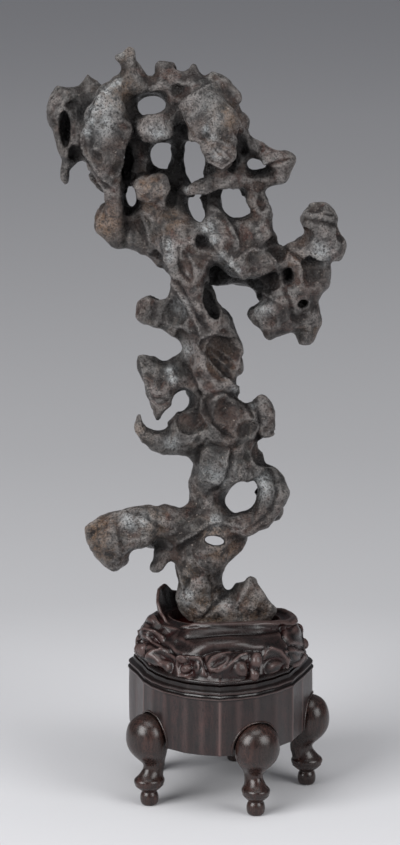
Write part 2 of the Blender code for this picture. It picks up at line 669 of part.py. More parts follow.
# Seat body from the bottom up: (share of the height, x scale, y scale, roundness)
SEAT_LEVELS = [
    (0.00, 0.925, 0.925, 0.0), (0.06, 0.937, 0.937, 0.0), (0.11, 0.925, 0.925, 0.0),
    (0.15, 0.900, 0.900, 0.0), (0.25, 0.915, 0.915, 0.1), (0.40, 0.915, 0.910, 0.2),
    (0.52, 0.905, 0.870, 0.4), (0.66, 0.880, 0.790, 0.6), (0.80, 0.845, 0.670, 0.8),
    (0.92, 0.800, 0.560, 1.0), (1.00, 0.740, 0.490, 1.0),
]


def collar_height(angle):
    """Height of the collar's lip in mm, in a direction given in degrees from the front."""
    angle = (angle + 180) % 360 - 180
    for k, (start, height) in enumerate(COLLAR):
        after, height_after = COLLAR[(k + 1) % len(COLLAR)]
        after += 360 if after < start else 0
        if start <= angle <= after:
            t = (angle - start) / (after - start)
            return height * (1 - t) + height_after * t
    return COLLAR[0][1]


def seat_rings():
    """Rings of the seat's body: lobed at the foot, oval under the collar."""
    rings = []
    for share, wide, deep, roundness in SEAT_LEVELS:
        ring = []
        for point in plan_outline():
            angle = math.degrees(math.atan2(point.x, -point.y))
            top = min(118.0, collar_height(angle) - 2.5) / 1000
            spot = point.lerp(point.normalized() * (0.94 * DRUM_RADIUS), roundness)
            spot = Vector((spot.x * wide, spot.y * deep, SEAT_BOTTOM))
            spot.z += (top - SEAT_BOTTOM) * share
            ring.append(spot)
        rings.append(ring)
    return rings


def collar_balls(bm):
    for k, (angle, height) in enumerate(COLLAR):
        after, height_after = COLLAR[(k + 1) % len(COLLAR)]
        after += 360 if after < angle else 0
        for j in range(5):
            t = j / 5
            turn = math.radians(angle * (1 - t) + after * t)
            top = (height * (1 - t) + height_after * t) / 1000
            x = SOCKET_CENTRE[0] + (SOCKET_HALF[0] + 0.0026) * math.sin(turn)
            y = SOCKET_CENTRE[1] - (SOCKET_HALF[1] + 0.0026) * math.cos(turn)
            lean = 0.07 if x > 0 else 0.02
            for level in range(4):
                low = 0.106 + (top - 0.0032 - 0.106) * level / 3
                flare = 1.0 + lean * level / 3
                place = Matrix.Translation((x * flare, y * flare, low))
                bmesh.ops.create_icosphere(bm, subdivisions=2, radius=0.0042, matrix=place)


def make_seat(group, wood):
    seat = lofted("stand_seat", seat_rings(), group)
    bowls = []
    for angle, wide in SEAT_HOLLOWS:
        out = plan_point(angle, 1.0)
        centre = out * 0.0570 + Vector((0, 0, 0.0975))
        bowls.append((centre, frame_of(-out), Vector((wide / 1000, 0.0048, 0.0058))))
    cut_bowls(seat, bowls, group)
    bm = bmesh.new()
    bm.from_mesh(seat.data)
    for angle, reach, height, wide, high in SEAT_KNOBS:
        ball(bm, reach / 1000, height / 1000, wide / 1000, 0.0062, high / 1000, angle)
    for angle, wide in SEAT_HOLLOWS:
        ball(bm, 0.0515, 0.0965, wide * 0.00065, 0.0054, 0.0042, angle)
    collar_balls(bm)
    bm.to_mesh(seat.data)
    bm.free()
    remesh(seat, 0.0012)
    smooth(seat, 0.5, 3)
    socket = cylinder("socket", 1.0, SOCKET_FLOOR, 0.16, group, 40, SOCKET_HALF, SOCKET_CENTRE)
    boolean(seat, socket)
    step = seat.modifiers.new("lighten", "DECIMATE")
    step.ratio = SEAT_TRIANGLES / (2 * len(seat.data.polygons))
    apply_modifiers(seat)
    keep_largest(seat)
    points = coordinates(seat.data)
    points[:, 2] = np.maximum(points[:, 2], SEAT_BOTTOM)
    store(seat.data, points)
    seat.data.materials.clear()
    seat.data.materials.append(wood)
    return seat


def stand_on_origin(nodes):
    """Hangs every node on an empty, moved so that the box's bottom centre is the origin."""
    graph = bpy.context.evaluated_depsgraph_get()
    graph.update()
    points = np.concatenate([coordinates(node.evaluated_get(graph).data) for node in nodes])
    low, high = points.min(axis=0), points.max(axis=0)
    anchor = bpy.data.objects.new("scholars_rock_origin", None)
    bpy.context.scene.collection.objects.link(anchor)
    anchor.location = (-(low[0] + high[0]) / 2, -(low[1] + high[1]) / 2, -low[2])
    for node in nodes:
        node.parent = anchor


def main():
    clear_scene()
    group = new_collection("scholars_rock")
    stone = material("rock_stone", (0.075, 0.058, 0.052), 0.55)
    wood = material("stand_wood", (0.040, 0.022, 0.020), 0.30)
    nodes = [make_rock(group, stone), make_seat(group, wood), make_drum(group, wood)]
    for name, angle in LEG_ANGLES.items():
        nodes.append(make_leg(name, angle, group, wood))
    stand_on_origin(nodes)


main()
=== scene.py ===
"""Weathered scholar's rock in its carved wooden stand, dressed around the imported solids."""

import math

import bmesh
import bpy
import numpy as np
from mathutils import Matrix, Vector, noise
from mathutils.bvhtree import BVHTree


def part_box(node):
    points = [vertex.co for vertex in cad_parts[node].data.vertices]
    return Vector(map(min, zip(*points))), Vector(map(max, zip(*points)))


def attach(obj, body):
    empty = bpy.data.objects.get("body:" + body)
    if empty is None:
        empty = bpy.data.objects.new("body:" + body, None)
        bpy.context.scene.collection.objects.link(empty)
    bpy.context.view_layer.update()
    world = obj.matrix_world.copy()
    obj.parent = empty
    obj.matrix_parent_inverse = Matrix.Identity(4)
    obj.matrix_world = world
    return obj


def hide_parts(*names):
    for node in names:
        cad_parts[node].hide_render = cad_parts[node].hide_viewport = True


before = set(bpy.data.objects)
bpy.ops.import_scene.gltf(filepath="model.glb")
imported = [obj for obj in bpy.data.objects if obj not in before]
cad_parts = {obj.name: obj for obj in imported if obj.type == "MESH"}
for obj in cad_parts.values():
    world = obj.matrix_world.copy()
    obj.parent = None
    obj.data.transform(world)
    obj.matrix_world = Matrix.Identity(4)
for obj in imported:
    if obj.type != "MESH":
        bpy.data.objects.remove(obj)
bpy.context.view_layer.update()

# Stand dimensions, in metres
DRUM_RADIUS = 0.0628
HOLLOW_RADIUS, HOLLOW_FOOT, HOLLOW_TOP = 0.0420, 0.0300, 0.0720
WALL_FOOT, WALL_TOP = 0.040, 0.0785
RIM_FOOT, RIM_LIPS = 0.0780, (0.0793, 0.0829)
SEAT_BOTTOM = 0.0871
SOCKET_FLOOR, SOCKET_TOP = 0.1105, 0.1600
SOCKET_CENTRE = (0.0020, 0.0020)
SOCKET_HALF = (0.0362, 0.0225)
CLEARANCE = 0.0004
COLLAR_GAP, COLLAR_FOOT, COLLAR_BASE = 0.0027, 0.106, 0.0024
CARVING_HEIGHT = 0.0975
KNEE_RADIUS = 0.0150
KNEE_HEIGHT = 0.0455
POCKET_REACH, POCKET_LENGTH, POCKET_GAP = 0.0465, 0.035, 0.0011
BEAD_REACH, BEAD_RADIUS, BEAD_FOOT = 0.0167, 0.0007, 0.0418
DRUM_MIDDLE = (-0.00011, -0.00046)
LEG_ANGLES = {
    "leg_front": 22.7,
    "leg_right": 98.0,
    "leg_back_right": 170.0,
    "leg_back_left": -128.0,
    "leg_left": -54.5,
}

# The rock is laid out on a sight grid: u runs right and v runs down in steps of
# GRID, seen from SIGHT away and TILT above the level, and y is the depth.
GRID = 0.00064
SIGHT = 2.2
TILT = math.radians(13.0)
SIGHT_TARGET = Vector((-0.0137, 0.0, 0.2456))
SIGHT_CENTRE = (200.0, 422.5)

ROCK_VOXEL = 0.00115
SEAT_VOXEL = 0.00075
RAW_VOXEL = 0.0019
ROCK_TRIANGLES = 196000

# Relief of the rock in metres, with the scale of its noise, and the random bowls
SWELLING, SWELLING_SCALE = 0.0036, 55.0
RIDGE_HEIGHT, RIDGE_SCALE = 0.0022, 42.0
FINE_HEIGHT, FINE_SCALE = 0.00028, 210.0
SCALLOPS, SEED, BOWL_SIZES = 420, 7, (0.0070, 0.0150)
SMALL_SCALLOPS, SMALL_SEED, SMALL_SIZES = 160, 21, (0.0022, 0.0045)
BOWL_DEPTH = 0.8  # of a bowl's half width
BOWL_FLOOR = 0.128
THINNEST = 0.011  # stone too thin for a bowl
FRONT_SUNK, BACK_SUNK = 0.07, 0.18  # of the stone's thickness
FRONT_LEFT_OUT = 0.4  # share of the front's bowls
FOOT_TOP = 0.127

# What the finishes read from the skin, in metres: height of an edge, depth of a hollow
# and how far off a wall still closes a spot in; they set painted highlight, patina and painted
# shade
EDGE_DEPTH = 0.00020
ROCK_DEPTH, SEAT_DEPTH = 0.0030, 0.0022
ROCK_RECESS, SEAT_RECESS = 0.036, 0.020

FORWARD = Vector((0.0, math.cos(TILT), -math.sin(TILT)))
UP = Vector((0.0, math.sin(TILT), math.cos(TILT)))
EYE = SIGHT_TARGET - FORWARD * SIGHT


def at(u, v, y):
    """World point that the sight line through (u, v) meets at depth y (mm)."""
    line = FORWARD * SIGHT + UP * ((SIGHT_CENTRE[1] - v) * GRID)
    line.x += (u - SIGHT_CENTRE[0]) * GRID
    return EYE + line * ((y / 1000 - EYE.y) / line.y)


def sight(points):
    """Sight-grid place (u, v) of every point."""
    away = points - np.array(EYE)
    depth = away @ np.array(FORWARD)
    u = SIGHT_CENTRE[0] + away[:, 0] * SIGHT / (depth * GRID)
    v = SIGHT_CENTRE[1] - away @ np.array(UP) * SIGHT / (depth * GRID)
    return np.stack([u, v], axis=1)


# Limbs: points (u, v, y in mm, radius in grid steps); depth radius factor last
LIMBS = [
    # Finial, neck and knobs of the head
    ([(128, 48, 0, 5.5), (129, 54, 0, 8.5), (131, 61, 0, 9), (133, 70, 0, 9.5),
      (136, 84, 0, 13)], 1.1),
    ([(129, 53, 0, 7), (122, 54.5, 0, 6.5), (115.5, 57, 0, 3.8)], 1.1),
    ([(117, 83, -2, 5.5), (119, 94, -2, 11)], 1),
    ([(89, 71, 4, 5.4), (90, 80, 4, 9), (95, 97, 2, 12)], 1.1),
    ([(160.5, 64, 2, 4.8), (162, 70, 2, 8), (164, 76, 2, 10), (167, 83, 0, 12)], 1.2),
    ([(161, 67, 3, 4.5), (171, 73, 3, 5), (180, 78, 2, 5)], 1.2),
    ([(165, 83, 0, 12), (178, 82, 0, 13), (192, 86, 0, 15)], 1.2),
    ([(193.5, 65, 2, 5.5), (194.5, 72, 2, 8.5), (203, 84, 0, 14)], 1.1),
    ([(213, 80, 0, 6), (225, 84, 0, 6), (237, 101, 0, 7)], 1.5),
    ([(134, 84, 0, 13), (147, 86, 2, 9.5), (165, 86, 0, 10)], 1.3),
    # Left lobe behind, with its prong
    ([(78, 100, 6, 14), (62, 98, 4, 14), (62, 112, 2, 16.5), (68, 135, 2, 13.5),
      (68, 155, 2, 11.5), (66, 173, 0, 6), (66, 187, 0, 2)], 1.3),
    ([(80, 105, 8, 17), (85, 130, 8, 20), (84, 148, 8, 15)], 1.3),
    # Bright front lobe with its drip
    ([(110, 96, -12, 14), (108, 115, -14, 20), (106, 138, -14, 22), (104, 158, -12, 20),
      (106, 174, -10, 14), (112, 192, -9, 9.5), (114, 214, -8, 8), (115, 232, -7, 6.5),
      (115.5, 244, -5, 4.5)], 0.9),
    ([(102, 207, 0, 7), (105, 218, 0, 10.5), (107, 227, 0, 11), (122, 234, 0, 12),
      (138, 236, 2, 13), (152, 246, 4, 14), (166, 258, 4, 12)], 1.2),
    ([(128, 100, 2, 11), (130, 118, 2, 12), (135, 132, 4, 13), (136, 150, 6, 14),
      (136, 166, 6, 14), (136, 178, 2, 8)], 1.3),
    ([(119, 186, -2, 7), (120, 205, 0, 6), (128, 215, 0, 9), (142, 215, 0, 10)], 1.2),
    ([(100, 172, 6, 13), (102, 184, 6, 9), (116, 196, 4, 8)], 1.2),
    # Small lobe between the upper holes
    ([(144, 128, -4, 14), (157, 127, -9, 15.5), (168, 124, -5, 13)], 1),
    ([(138, 134, 8, 12), (160, 133, 10, 12), (182, 130, 8, 13), (196, 130, 6, 12)], 1.3),
    ([(176, 92, 0, 12), (176, 108, 0, 11), (180, 125, 6, 12)], 1.4),
    # Back wall behind the two middle holes
    ([(178, 125, 14, 10), (178, 147, 15, 8), (178, 166, 15, 8.5), (180, 184, 12, 12)], 1.6),
    ([(138, 180, 8, 12), (158, 182, 8, 13), (182, 186, 8, 11)], 1.3),
    # Big right lobe with its tongue
    ([(197, 95, -8, 18), (205, 110, -12, 25), (213, 126, -14, 26), (216, 145, -14, 20),
      (220, 158, -14, 12), (222, 166, -12, 6)], 1),
    ([(212, 90, 0, 13), (222, 96, 2, 13.5), (228, 112, 4, 14.5), (236, 131, 4, 14.5),
      (240, 148, 4, 12), (238, 165, 4, 9)], 1.5),
    ([(210, 150, 6, 8), (212, 172, 6, 8)], 1.5),
    # Nose lobe
    ([(184, 188, -16, 2.5), (195, 187, -14, 7.5), (208, 184, -12, 11), (222, 181, -8, 11.5),
      (238, 180, -4, 10)], 0.9),
    ([(187, 190, -10, 8), (184, 190, 0, 10), (184, 186, 12, 11)], 1),
    # Orange lump under the second hole
    ([(144, 188, -10, 13.5), (158, 188, -14, 15.5), (163, 198, -10, 10)], 0.9),
    # Right arm, passing over and under its hole
    ([(246, 146, 2, 11), (258, 150, 0, 8), (272, 157, -4, 11), (283, 161, -2, 11.5),
      (281, 174, 0, 11.5), (268, 178, 2, 8.5), (256, 180, 2, 9), (244, 178, 2, 9.5)], 1.2),
    ([(278, 153, -2, 6), (289, 155, -2, 4.5)], 1),
    ([(282, 178, 0, 8), (287, 181, 0, 3.5)], 1),
    ([(258, 186, 2, 8), (256, 199, 2, 11), (261, 210, 0, 10), (262, 222, 0, 11),
      (262, 238, 0, 16)], 1.3),
    # Strips round the lower holes of the head
    ([(214, 186, 4, 11), (213, 203, 5, 10), (213, 218, 2, 11)], 1.5),
    ([(176, 194, 6, 12), (178, 208, 4, 13), (181, 224, 0, 15)], 1.5),
    ([(205, 230, -2, 12), (234, 231, 2, 15), (254, 226, 2, 14)], 1.4),
    ([(150, 200, 2, 14), (158, 220, 0, 16), (168, 240, -4, 16)], 1.3),
    # Middle mass and trunk
    ([(185, 236, -6, 18), (188, 256, -6, 23), (188, 280, -4, 23.5), (192, 305, -2, 23),
      (206, 330, -2, 28), (213, 351, 0, 31), (214, 374, 2, 27), (216, 392, 0, 23)], 1.15),
    ([(204, 234, -2, 13), (221, 245, -2, 23), (240, 256, 0, 23), (258, 261, 2, 21),
      (276, 262, 4, 18)], 1.2),
    # Right hanging mass with its ball
    ([(320, 222, -8, 17.5), (331, 240, -6, 16), (337, 249, -4, 13)], 1.1),
    ([(318, 246, -4, 18), (301, 258, 0, 18), (285, 262, 2, 18)], 1.2),
    ([(318, 266, 0, 13), (318, 281, 0, 13), (300, 287, 0, 21), (286, 299, -2, 24),
      (275, 310, -4, 21), (264, 315, -2, 14), (256, 314, 0, 8)], 1.15),
    ([(300, 306, 2, 17), (308, 324, 2, 13.5), (304, 338, 2, 8), (299, 346, 2, 2.5)], 1.2),
    ([(290, 322, -2, 13), (272, 328, -2, 11), (268, 342, -2, 2.5)], 1.1),
    # Left lumps of the trunk
    ([(160, 302, -4, 13), (150, 312, -4, 14.5), (166, 314, -4, 13.5), (182, 322, -4, 14)], 1.1),
    ([(190, 366, 2, 17), (170, 377, 0, 17), (153, 368, -2, 12.5), (146, 361, -2, 7),
      (153, 368, -2, 12.5), (160, 388, -2, 12.5), (163, 402, -4, 9.5), (158, 414, -4, 4.5),
      (156.5, 421, -4, 1.5)], 1.1),
    # Lower trunk, right slab and left hook
    ([(216, 392, 2, 24), (219, 412, 2, 28), (222, 436, 2, 32), (227, 460, 2, 34)], 1.05),
    ([(262, 402, -6, 8.5), (265, 415, -6, 11), (267, 431, -4, 11), (252, 428, -2, 15),
      (250, 412, -2, 11)], 1.1),
    ([(192, 434, -2, 20), (176, 438, -4, 14.5), (156, 442, -6, 9.5), (143, 435, -6, 8.5),
      (138, 425, -6, 6.5), (137.5, 416.5, -6, 5)], 1.1),
    ([(188, 420, -2, 14), (177, 424, -4, 11)], 1.1),
    # Ring round the lower hole
    ([(208, 476, 2, 18), (207, 494, 2, 17.5), (212, 512, 0, 17), (228, 524, -4, 12.5),
      (246, 525, -6, 11.5), (262, 518, -6, 13), (270, 503, -4, 17), (272, 492, -2, 18.5),
      (264, 474, 0, 13), (250, 464, 0, 15)], 1.15),
    # Lower left foot of the mass
    ([(206, 522, 0, 20), (188, 523, -2, 16.5), (170, 524, -4, 17), (150, 523, -6, 19.5),
      (132, 526, -8, 22), (112, 539, -8, 24), (113, 552, -8, 17)], 1.05),
    ([(120, 535, -8, 19), (102, 536, -6, 18.5)], 1),
    ([(172, 543, 0, 13), (164, 553, -2, 12), (156.5, 565, -2, 7.5)], 1),
    ([(172, 513, 0, 8), (164, 505, 0, 4.8)], 1),
    # Foot
    ([(232, 541, 0, 17), (206, 541, 2, 32), (200, 556, 2, 28), (198, 572, 2, 25),
      (199, 588, 2, 26), (200, 602, 1, 22), (202, 614, 0, 13)], 0.95),
    ([(226, 606, 0, 14), (235, 597, 0, 12), (243, 590.5, 0, 11.5), (250, 588, 0, 10.5),
      (257, 597, 0, 11), (265, 607, 0, 8), (273, 613, 0, 4)], 1.25),
    ([(232, 606, 0, 14), (248, 602, 0, 15)], 1.2),
    ([(207, 616, 6, 12), (236, 618, 3, 20), (262, 616, 2, 11)], 1.1),
    # Masses on the far side
    ([(92, 96, 20, 14), (84, 122, 26, 22), (98, 148, 26, 20), (118, 170, 20, 14),
      (128, 216, 14, 12), (158, 228, 18, 18), (186, 244, 22, 22)], 1.1),
    ([(132, 88, 16, 14), (158, 86, 22, 13), (190, 90, 26, 17), (216, 106, 30, 20),
      (230, 132, 28, 16), (236, 166, 22, 14), (252, 190, 16, 12)], 1.2),
    ([(196, 246, 22, 22), (222, 262, 26, 22), (256, 268, 24, 20), (290, 274, 20, 19),
      (314, 262, 18, 16)], 1.15),
    ([(192, 270, 20, 20), (186, 300, 18, 18), (200, 330, 20, 20), (216, 360, 24, 24),
      (208, 396, 22, 24), (222, 430, 24, 28), (226, 456, 22, 26)], 1.05),
    ([(210, 480, 20, 17), (208, 510, 20, 17), (204, 540, 18, 26), (178, 536, 16, 18),
      (150, 532, 12, 17)], 1.1),
    ([(270, 482, 16, 14), (270, 508, 14, 14)], 1),
    ([(100, 108, 36, 13), (92, 128, 40, 15)], 1),
    ([(150, 84, 32, 9), (164, 96, 34, 12), (178, 92, 36, 8)], 1),
    ([(220, 112, 42, 14), (228, 142, 36, 13), (226, 160, 30, 9)], 1),
    ([(160, 222, 30, 14), (178, 246, 36, 14), (198, 238, 34, 9)], 1.1),
    ([(240, 256, 38, 14), (268, 278, 34, 13), (262, 296, 26, 7)], 1.1),
    ([(196, 316, 32, 13), (214, 340, 36, 15), (232, 366, 36, 12)], 1.1),
    ([(196, 408, 34, 12), (214, 420, 40, 14), (240, 436, 38, 12), (246, 452, 32, 7)], 1.1),
    ([(200, 500, 30, 12), (212, 524, 34, 15), (228, 548, 26, 12)], 1.1),
    ([(132, 526, 12, 14), (116, 540, 14, 15)], 1.1),
    ([(186, 564, 16, 14), (208, 590, 16, 14)], 1.1),
]

# Through holes: (u, v, half width, half height, turn in degrees)
HOLES = [
    (152, 105, 14, 9, 4), (161, 155, 10.5, 12.5, 0), (194.5, 160, 10.5, 18, 4),
    (253.5, 164, 6.5, 5.8, 0), (197, 210, 7, 13, 22), (234, 203, 10.6, 12, 20),
    (131, 196, 5, 11, 6), (239, 497, 12, 16.5, -28), (180.5, 402, 8.5, 10, -35),
    (169, 414, 5, 12, -44), (214.5, 540.5, 10.5, 4.8, -8),
]

# Hollows: (u, v, y, half width, half height, half depth in mm); the three numbers that
# follow in some are the way in, where it isn't straight
HOLLOWS = [
    (63.5, 131, -14, 5.8, 20.5, 15, 0.15, 1, 0), (178, 158, -16, 8, 26, 16),
    (176, 92, -15, 11, 10, 9), (226, 357, -17, 22, 30, 12, -0.5, 1, 0), (183, 61, 0, 8.5, 10, 30),
    (205, 65, 0, 7.5, 11, 30), (149, 64, 0, 6, 12, 30), (186, 266, -23, 8, 17, 5),
    (229, 412, -21, 24, 18, 8, 0, 1, 0.1), (288, 277, -14, 6, 9, 13), (303, 304, -13, 6, 4, 8),
    (244, 153, -10, 6, 7, 11), (258, 213, -14, 7, 7, 7), (172, 198, -12, 8, 12, 7),
    (207, 136, -29, 6, 10, 4), (214, 226, -15, 13, 9, 8), (240, 145, -10, 9, 16, 8),
    (262, 200, -8, 7, 12, 6), (246, 238, -17, 15, 7, 7), (212, 300, -14, 10, 22, 9, -0.5, 1, 0),
    (246, 446, -20, 14, 10, 8), (206, 456, -23, 12, 10, 7), (214, 594, -17, 7, 12, 4),
    (106, 112, -27, 12, 22, 4),
]

# Slender forms where no bowls are cut: (u, v, reach in grid steps)
SPARED = [
    (164, 556, 24), (157, 408, 16), (141, 426, 18), (127, 56, 16), (114, 222, 15), (170, 508, 14),
    (66, 150, 16), (176, 405, 16), (303, 300, 20), (196, 455, 14), (147, 300, 13), (255, 212, 12),
]

# Ridges (+) and creases (-) on the front: points (u, v), height in mm, width in grid steps
CREASES = [
    ([(207, 129), (216, 138), (228, 146)], 1.3, 1.8), ([(212, 146), (226, 161)], -0.9, 1.6),
    ([(217, 145), (230, 156)], -0.8, 1.4),
    ([(256, 167), (262, 165), (268, 162), (274, 159)], 1.8, 2),
    ([(258, 170), (272, 164), (289, 158)], -1.6, 2),
    ([(280, 243), (290, 252), (304, 263)], -2, 2.2),
    ([(305, 219), (318, 221), (332, 224), (346, 229)], -1.4, 2.4),
    ([(311, 212), (322, 213), (333, 216)], -0.5, 1.6),
    ([(283, 288), (290, 300), (293, 318)], -1.8, 2.4),
    ([(178, 249), (179, 264), (184, 276), (190, 281)], -1.6, 1.8),
    ([(183, 250), (190, 262), (192, 278)], -1, 1.6),
    ([(178, 282), (188, 300), (197, 316), (206, 327)], -2, 2.6),
    ([(210, 352), (222, 363), (236, 376)], 1.2, 2), ([(208, 343), (224, 354), (240, 366)], 1, 2),
    ([(170, 363), (173, 374), (174, 386)], 1.4, 2.4),
    ([(181, 361), (188, 372), (194, 384), (200, 397)], -2.2, 2.8),
    ([(206, 400), (214, 394), (224, 392), (236, 397), (246, 404), (252, 416)], -2, 2.2),
    ([(204, 402), (206, 412), (213, 422), (224, 431), (234, 437)], -2, 2.2),
    ([(200, 400), (202, 413), (209, 424), (219, 433)], 1.4, 1.8),
    ([(253, 402), (257, 414), (259, 430), (258, 442)], -2.4, 2.6),
    ([(186, 404), (180, 412), (172, 420), (166, 428)], -1.3, 2.2),
    ([(200, 394), (197, 408), (194, 421)], -1.8, 2.4),
    ([(206, 440), (199, 449), (196, 462)], -1.8, 2.2),
    ([(200, 449), (212, 445), (226, 449), (237, 446)], -1.5, 2.2),
    ([(233, 450), (231, 466), (225, 480), (217, 490), (206, 495)], -1.8, 2.6),
    ([(266, 464), (274, 478), (277, 492), (272, 508), (263, 519), (252, 527)], -1.8, 2),
    ([(178, 549), (186, 544), (202, 535)], -1.6, 2.4),
    ([(128, 511), (144, 515), (154, 523), (163, 530)], -1.6, 2.4),
    ([(116, 518), (118, 530), (121, 543)], -1.2, 3),
    ([(184, 597), (184, 587), (190, 578), (200, 574), (209, 577), (213, 588),
      (213, 601)], -1.2, 2.2),
    ([(250, 578), (246, 590), (240, 601), (235, 609)], 2.4, 2.6),
    ([(224, 594), (217, 604), (209, 612), (203, 619)], -2, 2.6),
    ([(258, 579), (263, 592), (271, 607)], 1.2, 2), ([(90, 110), (92, 135), (90, 150)], -1.2, 3),
    ([(76, 108), (78, 130), (76, 148)], 1.2, 3), ([(142, 214), (148, 228), (151, 244)], 1.6, 2.6),
    ([(126, 212), (128, 228), (124, 244)], -1.4, 2.6),
    ([(150, 292), (154, 306), (152, 322)], -0.9, 2.6),
    ([(166, 290), (164, 308), (168, 322)], 0.9, 3), ([(262, 300), (266, 314), (262, 328)], 1, 3),
    ([(205, 222), (209, 232), (215, 244)], 1.4, 3),
]
# Overhanging folds: the steep flank lies to the right of the way the line runs
FOLDS = [
    ([(118, 80), (108, 87), (99, 98), (92, 114), (86, 127), (82, 138), (84, 151), (91, 162),
      (99, 174), (106, 181)], 2.4, 5),
    ([(128, 190), (133, 178), (136, 160), (135, 140), (130, 126), (120, 117)], 2.2, 5),
    ([(137, 122), (141, 134), (146, 142), (155, 141), (165, 139), (171, 133)], 2.4, 5),
    ([(209, 86), (200, 92), (190, 98), (182, 106), (174, 114)], 3, 7),
    ([(202, 147), (210, 160), (222, 167), (232, 159), (236, 147), (234, 138)], 2.4, 5),
    ([(184, 192), (200, 198), (215, 200)], 2, 5),
    ([(238, 243), (232, 228), (222, 214), (212, 206)], 2.4, 6),
    ([(212, 243), (222, 256), (237, 270), (250, 283), (262, 292), (275, 301)], 3, 6),
    ([(284, 246), (272, 244), (262, 249), (252, 248), (240, 256)], 2.2, 4),
    ([(283, 285), (281, 272), (275, 261), (267, 254)], 2, 5),
    ([(163, 238), (164, 250), (168, 262), (176, 279)], 2.2, 5),
    ([(232, 384), (222, 376), (212, 366), (203, 355), (199, 346), (203, 337), (215, 333),
      (231, 336)], 2.2, 5),
    ([(257, 417), (256, 404), (250, 397), (237, 388), (224, 380)], 2.4, 5),
    ([(182, 542), (198, 532), (207, 526), (218, 522), (231, 526)], 3, 6),
    ([(168, 240), (164, 262), (172, 284), (188, 308), (200, 332)], 1.4, 6),
    ([(139, 356), (144, 376), (150, 396), (154, 413)], 1.4, 4),
    ([(234, 196), (247, 194), (250, 205), (245, 214)], 1.8, 4),
]


def add_object(name, mesh, group):
    made = bpy.data.objects.new(name, mesh)
    group.objects.link(made)
    return made


def from_bmesh(name, bm, group):
    mesh = bpy.data.meshes.new(name)
    bm.to_mesh(mesh)
    bm.free()
    return add_object(name, mesh, group)


def gather(bm, whole):
    """Adds a small mesh to a larger one; operators stay quick on the small one."""
    mesh = bpy.data.meshes.new("piece")
    bm.to_mesh(mesh)
    bm.free()
    whole.from_mesh(mesh)
    bpy.data.meshes.remove(mesh)


def face_out(bm):
    bmesh.ops.recalc_face_normals(bm, faces=bm.faces)
    if bm.calc_volume(signed=True) < 0:
        bmesh.ops.reverse_faces(bm, faces=bm.faces)


def apply_modifiers(obj):
    graph = bpy.context.evaluated_depsgraph_get()
    graph.update()
    mesh = bpy.data.meshes.new_from_object(obj.evaluated_get(graph))
    obj.modifiers.clear()
    obj.data = mesh


def boolean(obj, cutter, solver="EXACT"):
    step = obj.modifiers.new("cut", "BOOLEAN")
    step.operation = "DIFFERENCE"
    step.solver = solver
    step.object = cutter
    apply_modifiers(obj)
    bpy.data.objects.remove(cutter, do_unlink=True)


def keep_largest(obj):
    """Drops any loose scrap or sealed bubble, keeping the largest piece."""
    bm = bmesh.new()
    bm.from_mesh(obj.data)
    left = set(bm.verts)
    pieces = []
    while left:
        stack = [left.pop()]
        piece = []
        while stack:
            vert = stack.pop()
            piece.append(vert)
            for edge in vert.link_edges:
                other = edge.other_vert(vert)
                if other in left:
                    left.remove(other)
                    stack.append(other)
        pieces.append(piece)
    pieces.sort(key=len)
    for piece in pieces[:-1]:
        bmesh.ops.delete(bm, geom=piece, context="VERTS")
    bm.to_mesh(obj.data)
    bm.free()


def read(mesh, name):
    """The places ("co") or the facings ("normal") of a mesh's vertices."""
    values = np.empty(len(mesh.vertices) * 3)
    mesh.vertices.foreach_get(name, values)
    return values.reshape(-1, 3)


def skin(mesh):
    return read(mesh, "co"), read(mesh, "normal")


def skin_tree(mesh):
    """The skin as a tree that rays can be cast at."""
    faces = [tuple(p.vertices) for p in mesh.polygons]
    return BVHTree.FromPolygons(read(mesh, "co").tolist(), faces)


def store(mesh, points):
    mesh.vertices.foreach_set("co", points.reshape(-1))
    mesh.update()


def cut_flat(mesh, floor):
    """Flattens whatever hangs below a height."""
    points = read(mesh, "co")
    points[:, 2] = np.maximum(points[:, 2], floor)
    store(mesh, points)


def limb_spheres(points):
    """Ball centres and radii closely spaced along a limb."""
    balls = []
    for start, end in zip(points, points[1:]):
        a, b = at(*start[:3]), at(*end[:3])
        reach = max((b - a).length, 1e-6)
        steps = max(1, math.ceil(reach / (0.45 * min(start[3], end[3]) * GRID + 0.0008)))
        for k in range(steps + 1):
            t = k / steps
            balls.append((a.lerp(b, t), (start[3] * (1 - t) + end[3] * t) * GRID))
    return balls


def raw_rock(group):
    """Every limb as a chain of balls, limb by limb, gathered in one mesh."""
    whole = bmesh.new()
    for points, depth in LIMBS:
        bm = bmesh.new()
        for centre, radius in limb_spheres(points):
            place = Matrix.Translation(centre) @ Matrix.Diagonal((1, depth, 1, 1))
            bmesh.ops.create_icosphere(bm, subdivisions=2, radius=radius * 1.02, matrix=place)
        gather(bm, whole)
    return from_bmesh("rock", whole, group)


def remesh(obj, voxel):
    step = obj.modifiers.new("remesh", "REMESH")
    step.mode = "VOXEL"
    step.voxel_size = voxel
    step.adaptivity = 0.0
    apply_modifiers(obj)
    keep_largest(obj)


def smooth(obj, factor, rounds):
    step = obj.modifiers.new("smooth", "SMOOTH")
    step.factor = factor
    step.iterations = rounds
    apply_modifiers(obj)


def frame_of(way, turn=0.0):
    """Axes of an ellipsoid: side, way and rise, turned about way."""
    way = Vector(way).normalized()
    side = way.cross((0, 0, 1) if abs(way.z) < 0.9 else (1, 0, 0)).normalized()
    rise = side.cross(way)
    c, s = math.cos(turn), math.sin(turn)
    return Matrix((side * c + rise * s, way, rise * c - side * s)).transposed()


def add_ellipsoid(bm, centre, axes, halves):
    place = Matrix.Translation(centre) @ (axes @ Matrix.Diagonal(halves)).to_4x4()
    bmesh.ops.create_icosphere(bm, subdivisions=3, radius=1.0, matrix=place)


